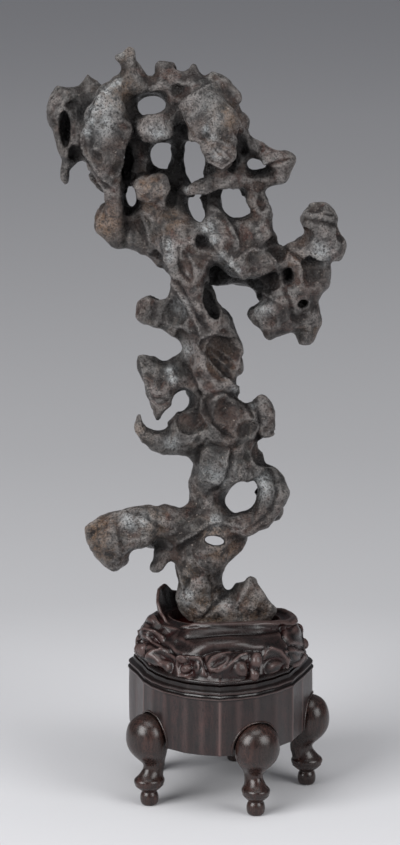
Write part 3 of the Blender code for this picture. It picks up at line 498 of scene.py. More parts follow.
def cut_bowls(rock, bowls, group):
    """Cuts ellipsoids (centre, axes, half sizes) away, in batches that don't meet."""
    batches = []
    for centre, axes, halves in bowls:
        reach = max(halves)
        for batch in batches:
            if all((centre - c).length > reach + r for c, r, _ in batch):
                break
        else:
            batch = []
            batches.append(batch)
        batch.append((centre, reach, (axes, halves)))
    for batch in batches:
        whole = bmesh.new()
        for centre, _, shape in batch:
            bm = bmesh.new()
            add_ellipsoid(bm, centre, *shape)
            face_out(bm)
            gather(bm, whole)
        boolean(rock, from_bmesh("bowls", whole, group), "MANIFOLD")


def hollows():
    """The hollows named one by one, sunk straight in where no way is given."""
    found = []
    for u, v, y, wide, high, deep, *way in HOLLOWS:
        halves = Vector((wide * GRID, deep / 1000, high * GRID))
        found.append((at(u, v, y), frame_of(way or (0, 1, 0)), halves))
    return found


def scallops(rock, count, seed, sizes):
    """Shallow bowls all over the skin, no deeper than the stone there allows."""
    chooser = np.random.default_rng(seed)
    points, facing = skin(rock.data)
    tree = skin_tree(rock.data)
    found = []
    for index in chooser.integers(len(points), size=count):
        spot, way = Vector(points[index]), -Vector(facing[index])
        size = chooser.uniform(*sizes)
        long, turn = chooser.uniform(1.0, 1.9), chooser.uniform(0, math.pi)
        sunk = size * BOWL_DEPTH * chooser.uniform(0.30, 0.55)
        chance = chooser.random()
        thick = tree.ray_cast(spot + way * 0.0002, way)[3] or 0.0
        u, v = sight(points[index:index + 1])[0]
        spared = any(math.hypot(u - a, v - b) < reach for a, b, reach in SPARED)
        if spared or spot.z < BOWL_FLOOR or thick < THINNEST:
            continue
        front = facing[index][1] < -0.3
        sunk = min(sunk, thick * (FRONT_SUNK if front else BACK_SUNK))
        axes = frame_of(way, turn)
        inside = spot + way * (sunk + 0.0015)
        room = [tree.ray_cast(inside, axes @ Vector((math.sin(k), 0, math.cos(k))))[3] or 0.0
                for k in range(6)]
        size = min(size, thick * 0.6, 0.75 * min(room) + 0.001)
        if size < sizes[0] * 0.5 or (front and chance < FRONT_LEFT_OUT):
            continue
        halves = Vector((size, size * BOWL_DEPTH, size * long))
        sunk = min(sunk, halves.y * 0.6)
        found.append((spot - way * (halves.y - sunk), axes, halves))
    return found


def roughen(rock, height, scale):
    """Uneven swelling of the skin with soft ridges, so that no limb stays a smooth tube."""
    points, facing = skin(rock.data)
    for k, (point, normal) in enumerate(zip(points, facing)):
        lift = height * noise.fractal(Vector(point) * scale, 0.8, 2.0, 3)
        if normal[1] > -0.3:
            ridge = 1 - abs(noise.noise(Vector(point) * RIDGE_SCALE))
            lift += RIDGE_HEIGHT * min(1.0, (normal[1] + 0.3) * 2) * (ridge ** 6 - 0.3)
        points[k] += normal * lift
    store(rock.data, points)


def line_reach(spots, line):
    """Distance of each spot from a line in grid steps, and whether it lies right of it."""
    best = np.full(len(spots), 99.0)
    right = np.zeros(len(spots), bool)
    for start, end in zip(line, line[1:]):
        a, b = np.array(start, float), np.array(end, float)
        way = b - a
        t = np.clip((spots - a) @ way / (way @ way), 0, 1)
        off = spots - a - t[:, None] * way
        away = np.linalg.norm(off, axis=1)
        nearer = away < best
        best[nearer] = away[nearer]
        right[nearer] = (way[0] * off[:, 1] - way[1] * off[:, 0])[nearer] > 0
    return best, right


def press(mesh, lumps=(), lines=(), folds=()):
    """Works the front skin along its facing: lumps, ridges, creases and overhanging folds; keeps
    painted shade along creases and under folds, and painted highlight along ridges and fold
    crests.
    """
    points, facing = skin(mesh)
    front = np.clip(facing @ -np.array(FORWARD) * 3, 0, 1)
    seen = front > 0
    spots = sight(points[seen])
    rise, painted_shade, ridge = np.zeros((3, len(spots)))
    for u, v, wide, high, turn, height in lumps:
        c, s = math.cos(math.radians(turn)), math.sin(math.radians(turn))
        du, dv = spots[:, 0] - u, spots[:, 1] - v
        far = ((du * c + dv * s) / wide) ** 2 + ((dv * c - du * s) / high) ** 2
        rise += height * np.exp(-far * far)
    for line, height, width in lines:
        away, _ = line_reach(spots, line)
        rise += height * np.exp(-(away / width) ** 1.5)
        # Painted shade along each crease, painted highlight along each ridge
        mark = painted_shade if height < 0 else ridge
        mark += np.exp(-(away / (width * 0.55)) ** 2) * min(1, abs(height) / 2)
    for line, height, width in folds:
        away, right = line_reach(spots, line)
        rise += height * np.exp(-away / np.where(right, width * 0.3, width))
        # Painted shade on the steep flank under the fold, painted highlight on its crest
        painted_shade += np.where(right, np.exp(-np.abs(away - 1.5) / 1.8), 0)
        ridge += np.where(right, 0, np.exp(-(away / 1.8) ** 2))
    points[seen] += facing[seen] * (rise * front[seen] / 1000)[:, None]
    store(mesh, points)
    for name, found in (("painted_shade", painted_shade), ("ridge", ridge)):
        full = np.zeros(len(points))
        full[seen] = found * front[seen]
        keep_value(mesh, name, full)


def seat_foot(points):
    """Keeps the foot inside the socket and flattens its underside."""
    low = points[:, 2] < FOOT_TOP
    x = (points[:, 0] - SOCKET_CENTRE[0]) / (SOCKET_HALF[0] - CLEARANCE)
    y = (points[:, 1] - SOCKET_CENTRE[1]) / (SOCKET_HALF[1] - CLEARANCE)
    far = np.sqrt(x * x + y * y)
    move = low & (far > 1.0)
    for axis in (0, 1):
        offset = points[move, axis] - SOCKET_CENTRE[axis]
        points[move, axis] = SOCKET_CENTRE[axis] + offset / far[move]
    points[:, 2] = np.maximum(points[:, 2], SOCKET_FLOOR + CLEARANCE)


def tube(segments, place):
    """A closed cylinder, each point of the unit one moved to the spot that place gives."""
    bm = bmesh.new()
    bmesh.ops.create_cone(bm, cap_ends=True, segments=segments, radius1=1, radius2=1, depth=1)
    for vert in bm.verts:
        vert.co = place(*vert.co)
    face_out(bm)
    return bm


def hole_cutter(u, v, wide, high, turn):
    """An oval bar along the sight line through (u, v)."""
    near, far = at(u, v, -90), at(u, v, 90)
    line = (far - near).normalized()
    side = Vector((1, 0, 0))
    side = (side - line * side.dot(line)).normalized()
    rise = line.cross(side)
    turned = math.radians(turn)
    a = side * math.cos(turned) - rise * math.sin(turned)
    b = rise * math.cos(turned) + side * math.sin(turned)
    return tube(20, lambda x, y, z: (near.lerp(far, z + 0.5)
                                     + (a * x * wide + b * y * high) * GRID))


def joined_pairs(mesh):
    """Pairs of vertices that share an edge, and how many pairs each vertex is in."""
    edges = np.empty(len(mesh.edges) * 2, np.int32)
    mesh.edges.foreach_get("vertices", edges)
    degree = np.bincount(edges, minlength=len(mesh.vertices)).clip(1)
    return edges.reshape(-1, 2), degree


def neighbour_mean(values, edges, degree):
    """Each vertex's values replaced by the mean of its neighbours' values."""
    total = np.empty_like(values)
    for column in range(values.shape[1]):
        ahead = np.bincount(edges[:, 0], values[edges[:, 1], column], len(values))
        behind = np.bincount(edges[:, 1], values[edges[:, 0], column], len(values))
        total[:, column] = (ahead + behind) / degree
    return total


def keep_value(mesh, name, values):
    """Keeps a value from 0 to 1 for every vertex, which the finishes read by its name."""
    made = mesh.attributes.new(name, "FLOAT", "POINT")
    made.data.foreach_set("value", np.clip(values, 0, 1).astype(np.float32))


def record_relief(mesh, fine, coarse, edge_depth, hollow_depth):
    """Marks edges and hollows by how far the skin lies from its own average, in metres.

    fine and coarse are how many rings of neighbours the average reaches.
    """
    pairs = joined_pairs(mesh)
    points, facing = skin(mesh)
    spread, below = points, {}
    for rings in range(1, coarse + 1):
        spread = neighbour_mean(spread, *pairs)
        if rings in (fine, coarse):
            below[rings] = ((spread - points) * facing).sum(axis=1)
    # Edges take painted highlight; hollows take patina with painted shade on stone, red painted
    # reflection on wood
    keep_value(mesh, "edge", -below[fine] / edge_depth)
    keep_value(mesh, "hollow", below[coarse] / hollow_depth)


# Tan crust on the rock: (u, v, reach in grid steps, strength)
TAN_SPOTS = [
    (118, 96, 20, 0.7), (104, 222, 14, 1), (150, 190, 15, 1), (228, 118, 12, 0.9),
    (92, 530, 26, 1), (96, 548, 20, 0.8), (155, 520, 14, 0.7), (222, 550, 14, 0.8),
    (232, 556, 12, 0.8), (138, 432, 10, 0.9), (220, 362, 16, 0.7), (207, 612, 22, 0.8),
    (256, 610, 20, 0.5), (213, 534, 12, 0.8), (245, 205, 9, 0.8), (318, 330, 10, 0.6),
    (128, 52, 10, 0.5), (172, 222, 16, 0.5), (215, 150, 14, 0.5), (300, 255, 14, 0.4),
    (185, 575, 12, 0.5),
]


# Polished spots with painted highlight: (u, v, reach in grid steps, strength)
POLISH_AND_HIGHLIGHT_SPOTS = [
    (113, 85, 4, 0.9), (106, 91, 4.5, 1), (99, 99, 4.5, 1), (94, 109, 5, 1), (90, 120, 5, 1),
    (87, 132, 5, 0.8), (103, 104, 7, 0.6), (107, 120, 7, 0.5), (158, 132, 8, 0.9),
    (151, 130, 6, 0.6), (206, 130, 4.5, 0.9), (212, 138, 5, 0.7), (216, 155, 8, 0.5),
    (208, 228, 8, 0.9), (212, 238, 7, 0.7), (222, 256, 4, 1), (230, 264, 4, 1), (238, 271, 3, 1),
    (168, 246, 7, 0.8), (170, 258, 6, 0.6), (171, 370, 4, 1), (173, 379, 4, 0.9),
    (320, 252, 12, 0.6), (263, 308, 9, 0.7), (262, 490, 10, 0.7), (264, 482, 8, 0.6),
    (128, 520, 9, 0.7), (142, 522, 9, 0.6), (187, 597, 7, 0.9), (215, 475, 14, 0.4),
    (186, 189, 3, 1), (120, 52, 5, 0.5), (118, 82, 4, 0.7), (182, 306, 9, 0.5),
    (188, 350, 9, 0.4), (235, 388, 4, 0.8), (253, 405, 3, 0.8), (215, 521, 6, 0.7),
    (172, 443, 7, 0.5), (105, 108, 14, 0.5), (104, 128, 12, 0.4), (262, 163, 5, 0.8),
    (225, 604, 7, 0.5), (202, 104, 16, 0.2), (216, 120, 9, 0.3),
]


def record_spots(mesh, name, spots):
    """Soft-edged patches at sight-grid places on the skin, kept as a named value."""
    places = sight(read(mesh, "co"))
    front = np.clip(read(mesh, "normal") @ -np.array(FORWARD) * 2 + 0.4, 0, 1)
    amount = np.zeros(len(places))
    for u, v, reach, strength in spots:
        away = np.linalg.norm(places - (u, v), axis=1) / reach
        amount = np.maximum(amount, strength * np.exp(-away * away))
    keep_value(mesh, name, amount * front)


def fine_relief(rock, height, scale):
    """Small uneven grain of the skin, above the size that the finish draws."""
    points, facing = skin(rock.data)
    for k, (point, normal) in enumerate(zip(points, facing)):
        spot = Vector(point) * scale
        lift = noise.fractal(spot, 0.7, 2.1, 3) - 0.35 * abs(noise.noise(spot * 0.45))
        points[k] += normal * (height * lift)
    seat_foot(points)
    store(rock.data, points)


def slim(obj, most):
    """Thins the flatter skin until the mesh has no more triangles than asked."""
    step = obj.modifiers.new("slim", "DECIMATE")
    step.ratio = min(1.0, most / (2 * len(obj.data.polygons)))
    step.use_collapse_triangulate = True
    apply_modifiers(obj)


def record_recess(mesh, reach, rays=9, seed=5):
    """How closed in each spot of the skin is, from rays cast out over its facing; kept for
    painted shade.
    """
    chooser = np.random.default_rng(seed)
    points, facing = skin(mesh)
    tree = skin_tree(mesh)
    closed = np.zeros(len(points))
    starts = points + facing * 0.0004
    for _ in range(rays):
        ways = chooser.normal(size=points.shape)
        ways = facing * 1.02 + ways / np.linalg.norm(ways, axis=1)[:, None]
        for k, (start, way) in enumerate(zip(starts.tolist(), ways.tolist())):
            away = tree.ray_cast(start, way, reach)[3]
            if away is not None:
                closed[k] += 1 - 0.5 * away / reach
    pairs = joined_pairs(mesh)
    spread = closed[:, None] / rays
    for _ in range(4):
        spread = neighbour_mean(spread, *pairs)
    keep_value(mesh, "recess_shade", spread[:, 0])


def weathered_rock(group):
    """Limbs fused to one skin, pierced, hollowed, worked and marked for its finish."""
    rock = raw_rock(group)
    rock.name = "weathered_rock"
    remesh(rock, RAW_VOXEL)
    smooth(rock, 0.5, 4)
    roughen(rock, SWELLING, SWELLING_SCALE)
    remesh(rock, RAW_VOXEL)
    for hole in HOLES:
        boolean(rock, from_bmesh("hole", hole_cutter(*hole), group), "MANIFOLD")
    cut_bowls(rock, hollows(), group)
    cut_bowls(rock, scallops(rock, SCALLOPS, SEED, BOWL_SIZES), group)
    cut_bowls(rock, scallops(rock, SMALL_SCALLOPS, SMALL_SEED, SMALL_SIZES), group)
    remesh(rock, ROCK_VOXEL)
    press(rock.data, (), CREASES, FOLDS)
    smooth(rock, 0.35, 1)
    fine_relief(rock, FINE_HEIGHT, FINE_SCALE)
    record_relief(rock.data, 4, 60, EDGE_DEPTH, ROCK_DEPTH)
    record_spots(rock.data, "tan", TAN_SPOTS)
    # Polished spots, where painted highlight is laid on the stone
    record_spots(rock.data, "polish_and_highlight", POLISH_AND_HIGHLIGHT_SPOTS)
    slim(rock, ROCK_TRIANGLES)
    # Painted shade in the recesses
    record_recess(rock.data, ROCK_RECESS)
    return rock


# The drum's plan: corners (degrees from the front, share of DRUM_RADIUS) and,
# for the panel that follows each, how far it bulges beyond the straight line
PLAN = [
    (-104, 1.00, 0.012), (-84, 0.875, 0), (-66, 0.875, -0.004), (-53, 0.892, -0.005),
    (-39.5, 0.918, -0.007), (-23, 0.955, -0.008), (-12, 0.970, -0.008), (-1, 0.992, -0.010),
    (10.5, 0.966, -0.008), (22.4, 0.944, -0.008), (39, 0.902, -0.007), (56, 0.885, -0.004),
    (76, 0.865, 0), (101, 0.985, 0.02), (125, 0.93, 0), (150, 0.94, -0.02), (172, 1, -0.02),
    (196, 0.94, 0), (226, 0.90, 0),
]
SOFT_CORNERS = (-104, -84, -53, -39.5, -23, -12, 10.5, 22.4, 39, 101, 150, 196)


def plan_point(angle, radius):
    turn = math.radians(angle)
    return Vector((radius * math.sin(turn), -radius * math.cos(turn), 0.0))


def outward(angle):
    """Directions away from the axis and across, at an angle from the front."""
    out = plan_point(angle, 1.0)
    return out, Vector((-out.y, out.x, 0.0))


def plan_outline(steps=8, rounds=6):
    """The lobed outline of the drum, seen from above, as points round the axis."""
    outline, keep = [], []
    for k, (angle, share, bulge) in enumerate(PLAN):
        after, share_after, _ = PLAN[(k + 1) % len(PLAN)]
        after += 360 if after < angle else 0
        a = plan_point(angle, share * DRUM_RADIUS)
        b = plan_point(after, share_after * DRUM_RADIUS)
        for j in range(steps):
            t = j / steps
            spot = a.lerp(b, t)
            spot += spot.normalized() * (4 * t * (1 - t) * bulge * DRUM_RADIUS)
            outline.append(spot)
            keep.append(j == 0 and angle not in SOFT_CORNERS)
    for _ in range(rounds):
        middle = [(outline[k - 1] + outline[(k + 1) % len(outline)]) / 2
                  for k in range(len(outline))]
        outline = [a if fixed else a.lerp(b, 0.5) for a, b, fixed in zip(outline, middle, keep)]
    return outline


def lofted(name, rings, group, cyclic=False):
    """A skin over rings of points; each ring starts as a circle and takes its points."""
    bm = bmesh.new()
    edges = []
    for points in rings:
        ring = bmesh.ops.create_circle(bm, segments=len(points), radius=1.0)["verts"]
        for vert, point in zip(ring, points):
            vert.co = point
        edges += list({edge for vert in ring for edge in vert.link_edges})
    bmesh.ops.bridge_loops(bm, edges=edges, use_cyclic=cyclic)
    if not cyclic:
        bmesh.ops.holes_fill(bm, edges=[edge for edge in bm.edges if edge.is_boundary])
    face_out(bm)
    return from_bmesh(name, bm, group)


def stacked(name, outline, levels, group):
    """A solid of scaled copies of an outline: levels are (height in mm, scale)."""
    rings = []
    for height, scale in levels:
        rings.append([Vector((p.x * scale, p.y * scale, height / 1000)) for p in outline])
    return lofted(name, rings, group)


def cylinder(name, radius, low, high, group, scale=(1, 1), centre=(0, 0)):
    """An upright round or oval cylinder between two heights."""
    bm = tube(96, lambda x, y, z: (x * radius * scale[0] + centre[0],
                                   y * radius * scale[1] + centre[1],
                                   z * (high - low) + (low + high) / 2))
    return from_bmesh(name, bm, group)


def beside(tree, angle, side, height):
    """Point and facing met on the way in towards the axis, a little to one side."""
    out, across = outward(angle)
    start = out * 0.2 + across * side
    start.z = height
    spot, facing, _, _ = tree.ray_cast(start, -out)
    if spot is None:
        spot, facing, _, _ = tree.find_nearest(start - out * 0.14)
    return spot, facing


# Drum wall and rim, from the bottom edge up: (height in mm, scale of the plan)
DRUM_LEVELS = [
    (41.5, 0.975), (41.6, 0.988), (42.2, 0.997), (43.4, 1), (52, 1.003), (62, 1.004), (72, 1.002),
    (77.6, 1), (78.3, 1), (78.6, 1.008), (79.2, 1.013), (79.8, 1.012), (80.2, 1.002),
    (80.4, 0.984), (81.2, 0.978), (81.7, 0.984), (82, 0.997), (82.6, 1.004), (83.3, 1.004),
    (83.9, 0.996), (84.2, 0.975), (84.6, 0.955), (86.8, 0.95),
]


def lobed_drum(group):
    """The lobed wall with its rim, hollow below, with a pocket over each knee."""
    drum = stacked("lobed_drum", plan_outline(20, 16), DRUM_LEVELS, group)
    wall = skin_tree(drum.data)
    boolean(drum, cylinder("hollow", HOLLOW_RADIUS, HOLLOW_FOOT, HOLLOW_TOP, group))
    radius = KNEE_RADIUS + POCKET_GAP
    for angle in LEG_ANGLES.values():
        out, side = outward(angle)
        near = out * POCKET_REACH + Vector((0, 0, KNEE_HEIGHT))
        far = near + out * POCKET_LENGTH
        rise = Vector((0, 0, 1))
        pocket = tube(64, lambda x, y, z: (near.lerp(far, z + 0.5)
                                           + (side * x + rise * y) * radius))
        boolean(drum, from_bmesh("pocket", pocket, group))
    return drum, wall


def record_arrises(mesh):
    """Marks the drum's upright corners with painted highlight and the flanks beside them with
    painted shade; lays painted shade over the rim, save for painted highlight along its lips.
    """
    points = read(mesh, "co")
    heights = points[:, 2]
    angles = np.degrees(np.arctan2(points[:, 0], -points[:, 1]))
    edge, flank = np.zeros((2, len(points)))
    for angle, _, _ in PLAN:
        apart = np.abs((angles - angle + 180) % 360 - 180)
        strength, spread = (0.20, 1.6) if angle in SOFT_CORNERS else (0.9, 0.8)
        # Painted highlight down each corner, painted shade on the flank beside it
        edge = np.maximum(edge, strength * np.exp(-(apart / spread) ** 2))
        flank = np.maximum(flank, 0.42 * np.exp(-((apart - 4.0) / 2.2) ** 2))
    wall = (heights > WALL_FOOT) & (heights < WALL_TOP)
    # Painted shade over the rim, with painted highlight lines along its lips
    edge, rim = edge * wall, 0.85 * (heights > RIM_FOOT)
    for height in RIM_LIPS:
        lip = np.exp(-((heights - height) / 0.0004) ** 2)
        edge, rim = np.maximum(edge, 0.8 * lip), rim * (1 - lip)
    keep_value(mesh, "ridge", edge)
    keep_value(mesh, "painted_shade", np.maximum(flank * wall, rim))


def rounded_path(points):
    """The path with its corners cut once, so that a line of a few points runs smoothly."""
    finer = [points[0]]
    for a, b in zip(points, points[1:]):
        finer += [a.lerp(b, 0.25), a.lerp(b, 0.75)]
    return finer + [points[-1]]


def bead_mesh(lines, radius):
    """Thin round beads along lines of points, tapering at their ends, as one mesh."""
    curve = bpy.data.curves.new("bead", "CURVE")
    curve.dimensions = "3D"
    curve.bevel_depth = radius
    curve.bevel_resolution = 3
    curve.use_fill_caps = True
    for line in lines:
        spline = curve.splines.new("POLY")
        spline.points.add(len(line) - 1)
        for k, point in enumerate(line):
            share = 8 * min(k, len(line) - 1 - k) / len(line)
            spline.points[k].co = (*point, 1.0)
            spline.points[k].radius = 0.45 + 0.55 * min(1, share)
    made = add_object("bead", curve, bpy.context.scene.collection)
    graph = bpy.context.evaluated_depsgraph_get()
    graph.update()
    mesh = bpy.data.meshes.new_from_object(made.evaluated_get(graph))
    bpy.data.objects.remove(made, do_unlink=True)
    return mesh


def arch_beads(wall, group):
    """A thin bead on the drum's wall round the pocket of each knee."""
    lines = []
    for angle in LEG_ANGLES.values():
        line = []
        for turn in range(-112, 113, 4):
            swing = math.radians(turn)
            reach = BEAD_REACH + 0.0009 * max(0.0, abs(turn) / 60 - 1)
            side, rise = reach * math.sin(swing), reach * math.cos(swing)
            spot, facing = beside(wall, angle, side, max(KNEE_HEIGHT + rise, BEAD_FOOT))
            line.append(spot + facing * 0.0001)
        lines.append(line)
    return add_object("arch_beads", bead_mesh(lines, BEAD_RADIUS), group)


# Leg rings from the foot up: (reach, height, half width, half thickness), mm
LEG_RINGS = [
    (57, 0, 3.6, 3.6), (57, 0.4, 4.9, 4.9), (57, 1.8, 5.7, 5.7), (57, 4.2, 6.1, 6.1),
    (57, 6.6, 5.9, 5.9), (57, 8.2, 5.3, 5.3), (57, 9, 4.7, 4.7), (57, 9.6, 4.9, 5),
    (57, 10.6, 6.1, 6.6), (57, 12, 7.5, 8.4), (57, 13, 8.2, 9.3), (57, 13.3, 8.5, 9.7),
    (57, 13.7, 8.5, 9.7), (57, 14, 8.4, 9.6), (57, 15.2, 9, 10.4), (57, 16.6, 9.1, 10.6),
    (57, 17.7, 8.6, 10.1), (56.7, 18.6, 7.7, 9.3), (56, 19.8, 6.8, 8.7), (54.8, 21.8, 6.1, 8.1),
    (53.4, 24.2, 5.6, 7.5), (53.1, 26.8, 5.9, 7.4), (54.2, 29.2, 7.3, 8.1), (55.8, 32, 9.7, 9.9),
    (57.4, 35.4, 12.5, 11.5), (58.6, 39.6, 14.4, 12.6), (59, 44.4, 15.2, 12.9),
    (59, 49.4, 14.8, 12.5), (59, 54, 13.2, 11.2), (59, 57.8, 10, 8.8), (59, 60.2, 5.4, 4.6),
    (59, 60.9, 2, 1.8),
]
LEG_SIDES = 24
# From this height in mm up, the knee stays clear of the inner end of its pocket
KNEE_FOOT, KNEE_GAP = 33.5, 0.3


def ball_knee_leg(name, angle, group):
    """Ball knee, narrow neck, turned-out pad and ball foot as one lofted piece."""
    out, side = outward(angle)
    rings = []
    for reach, height, wide, thick in LEG_RINGS:
        ring = []
        for k in range(LEG_SIDES):
            turn = math.tau * k / LEG_SIDES
            inner = POCKET_REACH * 1000 + KNEE_GAP if height > KNEE_FOOT else 0.0
            depth = max(reach + math.sin(turn) * thick, inner) / 1000
            spot = out * depth + side * (math.cos(turn) * wide / 1000)
            spot.z = height / 1000
            ring.append(spot)
        rings.append(ring)
    leg = lofted(name, rings, group)
    step = leg.modifiers.new("round", "SUBSURF")
    step.levels = step.render_levels = 2
    apply_modifiers(leg)
    cut_flat(leg.data, 0.0)
    return leg


# Collar round the foot: (degrees from the front, height, lip radius, outward lean), mm
COLLAR = [
    (-180, 117.5, 1.8, 1), (-150, 121, 1.6, 2), (-128, 129, 1.3, 2.5), (-112, 135.3, 1.1, 3),
    (-97, 134, 1, 4), (-84, 127.5, 1, 4.5), (-70, 120.5, 1, 3.5), (-58, 116, 1, 3.5),
    (-48, 113.5, 1.1, 4), (-37, 116.8, 1.3, 3), (-26, 119.3, 1.9, 2.5), (-10, 120, 2.4, 2.5),
    (10, 120.5, 2.7, 3), (30, 120.5, 2.8, 3.5), (50, 119, 2.8, 4.5), (70, 117.3, 2.8, 5.5),
    (88, 117, 2.8, 6), (100, 117.4, 2.6, 5), (113, 118, 2.2, 3.5), (135, 116.8, 1.8, 2),
    (155, 116.2, 1.8, 1),
]


def collar_at(angle):
    """Height, lip radius and lean of the collar in mm, in a direction from the front."""
    angle = (angle + 180) % 360 - 180
    for k, entry in enumerate(COLLAR):
        after = list(COLLAR[(k + 1) % len(COLLAR)])
        after[0] += 360 if after[0] < entry[0] else 0
        if entry[0] <= angle <= after[0]:
            t = (angle - entry[0]) / (after[0] - entry[0])
            t = t * t * (3 - 2 * t)
            return [entry[i] * (1 - t) + after[i] * t for i in (1, 2, 3)]
    return list(COLLAR[0][1:])


def collar_band(group):
    """A leaf-like band round the rock's foot, tall and thin on the left, rolled on the right."""
    rings = []
    for step in range(144):
        angle = step * 2.5 - 180
        high, lip, lean = collar_at(angle)
        out = plan_point(angle, 1.0)
        base = Vector((SOCKET_CENTRE[0] + (SOCKET_HALF[0] + COLLAR_GAP) * out.x,
                       SOCKET_CENTRE[1] + (SOCKET_HALF[1] + COLLAR_GAP) * out.y, COLLAR_FOOT))
        tip = base + out * (lean / 1000)
        tip.z = (high - lip) / 1000
        ring = []
        for i in range(16):
            swing = math.tau * i / 16
            middle = tip if math.sin(swing) >= 0 else base
            size = lip / 1000 if math.sin(swing) >= 0 else COLLAR_BASE
            spot = middle + out * (math.cos(swing) * size)
            spot.z += math.sin(swing) * size
            ring.append(spot)
        rings.append(ring)
    return lofted("collar", rings, group, cyclic=True)


# Carved front of the seat, on the sight grid.
# Lumps (+) and hollows (-): (u, v, half width, half height, turn in degrees, height in mm)
FRONT_LUMPS = [
    (222, 643, 25, 6.5, -3, 1.9), (161, 664, 13, 13.5, 20, -4.6), (154.5, 661, 4.8, 9, -25, 5.2),
    (164, 667, 4.2, 7, -30, 4), (187, 667.5, 13, 10, 0, -4.6), (182, 660, 4.6, 3.8, 0, 4.6),
    (184.5, 669, 5.4, 5.2, 0, 5), (195, 667, 4.5, 6.5, 0, 2.4), (219, 663, 12.5, 6.5, -28, 2.4),
    (219, 663, 8.5, 3.6, -28, -1.8), (241, 669, 6.5, 8.5, -30, 2), (256, 660.5, 5.2, 7.4, 0, 3.8),
    (254, 675, 4.2, 5.4, 0, 3.4), (275, 667, 12, 13.5, -10, -4.4), (276.5, 668, 9, 5.8, -38, 4.4),
    (296, 660, 7.5, 8, 0, 3.2), (146, 635, 6.5, 4, 25, 2.2), (154, 638, 6.5, 3.6, 25, -3.4),
    (142, 650, 8, 6.5, 0, 3), (150, 618, 6, 5, 0, 2), (145, 626, 5, 4.5, 0, 1.8),
    (297, 628, 6, 8, 0, 2.4), (304, 646, 5, 7, 0, 2), (180, 646, 12, 6, 20, -1.6),
]
# Ridges (+) and grooves (-): points (u, v), height in mm, width in grid steps
FRONT_LINES = [
    ([(168, 650), (180, 654), (200, 654), (214, 650), (240, 649), (262, 650)], -2.4, 2.4),
    ([(148, 671), (156, 680), (172, 683), (192, 685), (216, 687), (242, 686), (264, 684),
      (284, 680)], -1.8, 1.8),
    ([(186, 637), (205, 635), (230, 633), (260, 632), (282, 629)], -2, 3.2),
    ([(203, 656), (204, 665), (208, 674)], -2.6, 2.2),
    ([(248, 662), (249, 670), (248, 679)], -2, 1.8),
    ([(263, 653), (265, 663), (262, 675)], -2.4, 1.8),
    ([(289, 648), (291, 660), (290, 673)], -2.2, 1.8),
    ([(158, 641), (168, 647), (175, 655)], -2, 2.4),
    ([(135, 642), (146, 642), (157, 647)], -2.2, 2),
    ([(283, 627), (284, 637), (291, 645), (302, 648)], -2.4, 1.9),
    ([(141, 620), (150, 624)], -1.8, 1.8),
    ([(246, 654), (240, 656), (233, 662), (226, 668), (218, 671.5), (211, 669.5), (208.5, 664),
      (213, 658), (220, 655), (230, 652.5)], 1.6, 1.9),
    ([(160, 648.5), (153, 651), (149, 657), (149, 666), (154, 674), (164, 677.5)], 1.8, 2.2),
    ([(199, 657.5), (187, 655.5), (178, 658.5), (174.5, 666), (178, 674.5),
      (189, 677.5)], 1.6, 2.1),
    ([(271, 648.5), (280, 651.5), (286.5, 659), (288.5, 668), (285, 676), (275, 680)], 1.8, 2.2),
    ([(286, 652), (294, 650), (301, 652), (305, 661)], 1.7, 1.5),
    ([(140, 632), (147, 629.5), (155, 632), (163, 638)], 1.8, 1.6),
]
# Carved hollows of the sides and back: (degrees from the front, half width in mm)
BACK_HOLLOWS = [
    (100, 7), (122, 7), (145, 7.5), (168, 7.5), (191, 7.5), (214, 7), (236, 7), (258, 7),
    (279, 6.5),
]
# Half depth and half height of each hollow, the radius of its rim, how far its rim goes
# past it and how low, and the half sizes of its knob and of the bar after it, in metres
HOLLOW_DEEP, HOLLOW_HIGH = 0.0040, 0.0062
RIM_RADIUS, RIM_RISE, RIM_LOWEST = 0.0010, 0.0068, 0.0920
KNOB, BAR = (0.003, 0.003, 0.004), (0.0026, 0.003, 0.006)


def carve_back(tree, bowls, bm):
    """Hollows with a rolled rim and a knob inside, and a bar between each two."""
    for k, (angle, wide) in enumerate(BACK_HOLLOWS):
        spot, facing = beside(tree, angle, 0.0, CARVING_HEIGHT)
        halves = Vector((wide / 1000, HOLLOW_DEEP, HOLLOW_HIGH))
        lift = math.radians(18 if k % 2 else -14)
        bowls.append((spot + facing * 0.0004, frame_of(-facing, lift), halves))
        ring = []
        for turn in range(-150, 171, 20):
            swing = math.radians(turn)
            side = wide * 1.12 / 1000 * math.sin(swing)
            height = CARVING_HEIGHT + RIM_RISE * math.cos(swing)
            ring.append(beside(tree, angle, side, max(height, RIM_LOWEST))[0])
        bm.from_mesh(bead_mesh([rounded_path(ring)], RIM_RADIUS))
        knob, facing = beside(tree, angle, 0.0016 if k % 2 else -0.0018, 0.0962)
        add_ellipsoid(bm, knob - facing * 0.0012, frame_of(-facing), KNOB)
        bar, facing = beside(tree, angle + 11, 0.0, 0.0985)
        add_ellipsoid(bm, bar, frame_of(-facing), BAR)


# Seat body from the bottom up: (share of the height, x scale, y scale, roundness)
SEAT_LEVELS = [
    (0.00, 0.932, 0.932, 0), (0.06, 0.935, 0.935, 0), (0.11, 0.928, 0.928, 0),
    (0.15, 0.915, 0.915, 0.05), (0.25, 0.918, 0.918, 0.15), (0.33, 0.916, 0.914, 0.25),
    (0.42, 0.914, 0.900, 0.4), (0.52, 0.905, 0.865, 0.55), (0.60, 0.893, 0.820, 0.7),
    (0.68, 0.876, 0.765, 0.8), (0.76, 0.857, 0.705, 0.9), (0.84, 0.835, 0.640, 1),
    (0.92, 0.800, 0.565, 1), (1.00, 0.740, 0.490, 1),
]


